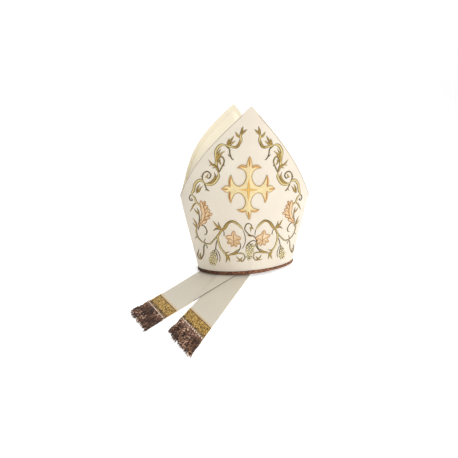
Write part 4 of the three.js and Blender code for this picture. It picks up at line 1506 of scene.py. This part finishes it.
class MITRE_OT_fringes(bpy.types.Operator):
    """The heading, the pale cord and the twisted strands at the end of each lappet"""

    bl_idname = "mitre.fringes"
    bl_label = "Fringes"

    def execute(self, context):
        fringe = settings("mitre_fringe")
        dark, light = tuple(fringe.dark), tuple(fringe.light)
        for seed, (side, lappet) in enumerate(LAPPETS.items()):
            chance = random.Random(11 + seed)
            strands = Pieces()
            for index in range(fringe.strands):
                strands.tube(*self.strand(lappet, fringe, index, chance), chance.random())
            self.lay_shade_locks(strands, lappet, fringe.length / MM)
            piece = strands.build(f"fringe_{side}_strands")
            # The fringe thread carries painted glints
            piece.data.materials.append(plied_thread(
                f"{side} fringe thread", dark, light, 0.0022, 0.1, 0.32,
                painted_glint=(0.86, 0.60, 0.44)))
            finish_piece(piece, (f"fringe_{side}",))
            heading = self.heading(lappet).build(f"fringe_{side}_heading")
            heading.data.materials.append(plied_thread(
                f"{side} heading thread", (0.085, 0.042, 0.02), (0.62, 0.42, 0.20),
                0.0018, 0.15, 0.35))
            finish_piece(heading)
            cord = self.cord(lappet).build(f"fringe_{side}_cord")
            cord.data.materials.append(plied_thread(
                f"{side} pale cord", (0.24, 0.14, 0.09), (0.95, 0.77, 0.64), 0.0021, 0.0, 0.4))
            finish_piece(cord)
        return {"FINISHED"}

    def frame_at(self, lappet, across, beyond, aside, level):
        """A point past the lappet's end: beyond it, to one side, and over the floor."""
        root = lappet_plan(lappet, lappet["floor"], across)
        heading = heading_of(lappet)
        x = root[..., 0] + heading[0] * beyond - heading[1] * aside
        y = root[..., 1] + heading[1] * beyond + heading[0] * aside
        return np.stack(np.broadcast_arrays(x, y, level), -1)

    def strand(self, lappet, fringe, index, chance):
        """One twisted strand that curls from under the cord to its ragged tip."""
        count = fringe.strands
        place = 2 * (index + chance.uniform(-0.4, 0.4)) / (count - 1) - 1
        across = FRINGE_SPREAD * min(max(place, -1), 1)
        lock = math.floor((across + 1) * FRINGE_LOCKS / 2)
        pull = ((2 * lock + 1) / FRINGE_LOCKS - 1 - across) * lappet["half_end"]
        length = fringe.length / MM * (chance.uniform(0.8, 0.98) + 0.04 * math.sin(lock * 2.7))
        if chance.random() < 0.06:
            length += chance.uniform(1.5, 4.5)
        share = np.linspace(0, 1, 40)
        layer = index % 4
        sway = 1.5 * np.sin(share * 6.5 + lock * 1.9) + chance.uniform(-2.6, 2.6) * share
        drift = (pull * 0.45 + sway) * smooth(share * 1.4)
        curl = chance.uniform(0.5, 1.25) * smooth(share * 4)
        phase = share * length / chance.uniform(3.8, 7.5) * 2 * math.pi + chance.uniform(0, 6)
        thick = fringe.thickness / MM / 2 * chance.uniform(0.8, 1.15)
        beyond = STRAND_START + share * (length - STRAND_START)
        rest = thick + 0.55 * layer + curl
        level = np.maximum(
            np.interp(beyond, (STRAND_START, FRINGE_HEAD, 14), (3.9, 3.9, 0)), rest)
        centre = self.frame_at(
            lappet, across, beyond, drift + curl * np.cos(phase),
            np.maximum(level + curl * np.sin(phase), thick))
        return self.round_rings(centre, thick * np.where(share > 0.96, 0.6, 1.0), share * length)

    def lay_shade_locks(self, strands, lappet, length):
        """Flat locks below the strands, with a ragged end, in the darkest tone as painted shade deep in
        the fringe.
        """
        for lock in range(SHADE_LOCKS):
            middle = -0.96 + 1.92 * lock / (SHADE_LOCKS - 1)
            far = length * (0.74 + 0.12 * math.sin(lock * 2.3))
            beyond = np.linspace(FRINGE_HEAD, far, 8)
            half = 2.6 * np.array((1, 1, 1, 1, 1, 0.9, 0.7, 0.3)) / lappet["half_end"]
            corners = ((-1, 0.1), (1, 0.1), (1, 0.7), (-1, 0.7))
            rings = np.stack([
                self.frame_at(lappet, np.clip(middle + side * half, -0.97, 0.97), beyond, 0, level)
                for side, level in corners], 1)
            run = np.broadcast_to((beyond * MM)[:, None], rings.shape[:2])
            strands.tube(rings, np.stack((run, np.full(run.shape, 0.5)), -1), 0.0)

    def round_rings(self, centre, radius, run):
        """Six-sided rings round a thread's middle line."""
        tangent = np.gradient(centre, axis=0)
        tangent /= np.linalg.norm(tangent, axis=1, keepdims=True)
        side = np.cross(tangent, (0.0, 0.0, 1.0))
        side /= np.linalg.norm(side, axis=1, keepdims=True)
        over = np.cross(side, tangent)
        turns = np.linspace(0, 2 * math.pi, 6, endpoint=False)
        spokes = (np.cos(turns)[None, :, None] * side[:, None]
                  + np.sin(turns)[None, :, None] * over[:, None])
        rings = centre[:, None] + np.broadcast_to(radius, len(centre))[:, None, None] * spokes
        uvs = np.stack(np.broadcast_arrays((run * MM)[:, None], turns[None, :] / (2 * math.pi)), -1)
        return rings, uvs

    def heading(self, lappet):
        """A dark tape from the gold band over the join, with three rows of small loops."""
        pieces = Pieces()
        across = np.linspace(-1, 1, 60)
        profile = ((-8.8, 2.0), (-8.8, 2.7), (-8.2, 3.1), (-1.0, 3.2), (4.4, 3.0), (5.1, 2.4),
                   (5.1, 0.3), (0.5, 0.3), (0.5, 2.0))
        rings = np.stack([
            self.frame_at(lappet, across, beyond, 0, level) for beyond, level in profile], 1)
        run = np.broadcast_to((across * lappet["half_end"] * MM)[:, None], rings.shape[:2])
        uvs = np.stack((run, np.broadcast_to(np.linspace(0, 1, len(profile)), run.shape)), -1)
        pieces.tube(rings, uvs, 0.2)
        across = np.linspace(-0.985, 0.985, 260)
        for row, beyond in enumerate((-7.4, -5.4, -3.5)):
            wave = across * lappet["half_end"] / 3.8 * 2 * math.pi + row * 2.0
            pieces.tube(*self.rope(
                lappet, across, beyond + 0.9 * np.sin(wave), 3.4 + 0.35 * np.cos(wave), 0.55),
                0.35 + 0.25 * row)
        return pieces

    def cord(self, lappet):
        """A pale ply and a brown one twisted round each other."""
        pieces = Pieces()
        across = np.linspace(-0.985, 0.985, 240)
        for phase, tone in ((0, 1.4), (math.pi, 0.1)):
            twist = across * lappet["half_end"] / 4.6 * 2 * math.pi + phase
            pieces.tube(*self.rope(
                lappet, across, -1.7 + 0.4 * np.sin(twist), 4.1 + 0.6 * np.cos(twist), 0.95), tone)
        return pieces

    def rope(self, lappet, across, beyond, level, radius):
        """Rings of a thin rope that runs across the lappet's end."""
        centre = self.frame_at(lappet, across, beyond, 0, level)
        return self.round_rings(centre, radius, across * lappet["half_end"])


# The add-on


class MITRE_PT_sidebar(bpy.types.Panel):
    """The mitre's steps and what can be changed"""

    bl_label = "Mitre"
    bl_idname = "MITRE_PT_sidebar"
    bl_space_type = "VIEW_3D"
    bl_region_type = "UI"
    bl_category = "Mitre"

    def draw(self, context):
        for step in STEPS:
            self.layout.operator(step.bl_idname)
        for name in GROUPS:
            box = self.layout.box()
            group = getattr(context.scene, name)
            for key in GROUPS[name].__annotations__:
                box.prop(group, key)


GROUPS = {
    "mitre_cloth": MitreCloth,
    "mitre_gold": MitreGold,
    "mitre_braid": MitreBraid,
    "mitre_fringe": MitreFringe,
    "mitre_stage": MitreStage,
}
STEPS = (
    MITRE_OT_stage,
    MITRE_OT_panels,
    MITRE_OT_gusset,
    MITRE_OT_rim_braid,
    MITRE_OT_cross,
    MITRE_OT_scrolls,
    MITRE_OT_lappets,
    MITRE_OT_gold_bands,
    MITRE_OT_fringes,
)


def register():
    for kind in (*GROUPS.values(), *STEPS, MITRE_PT_sidebar):
        bpy.utils.register_class(kind)
    for name, kind in GROUPS.items():
        setattr(bpy.types.Scene, name, bpy.props.PointerProperty(type=kind))


def unregister():
    for name in GROUPS:
        delattr(bpy.types.Scene, name)
    for kind in reversed((*GROUPS.values(), *STEPS, MITRE_PT_sidebar)):
        bpy.utils.unregister_class(kind)


def main():
    register()
    bpy.ops.mitre.stage()
    bpy.ops.mitre.panels()
    bpy.ops.mitre.gusset()
    bpy.ops.mitre.rim_braid()
    bpy.ops.mitre.cross()
    bpy.ops.mitre.scrolls()
    bpy.ops.mitre.lappets()
    bpy.ops.mitre.gold_bands()
    bpy.ops.mitre.fringes()


if __name__ == "__main__":
    main()
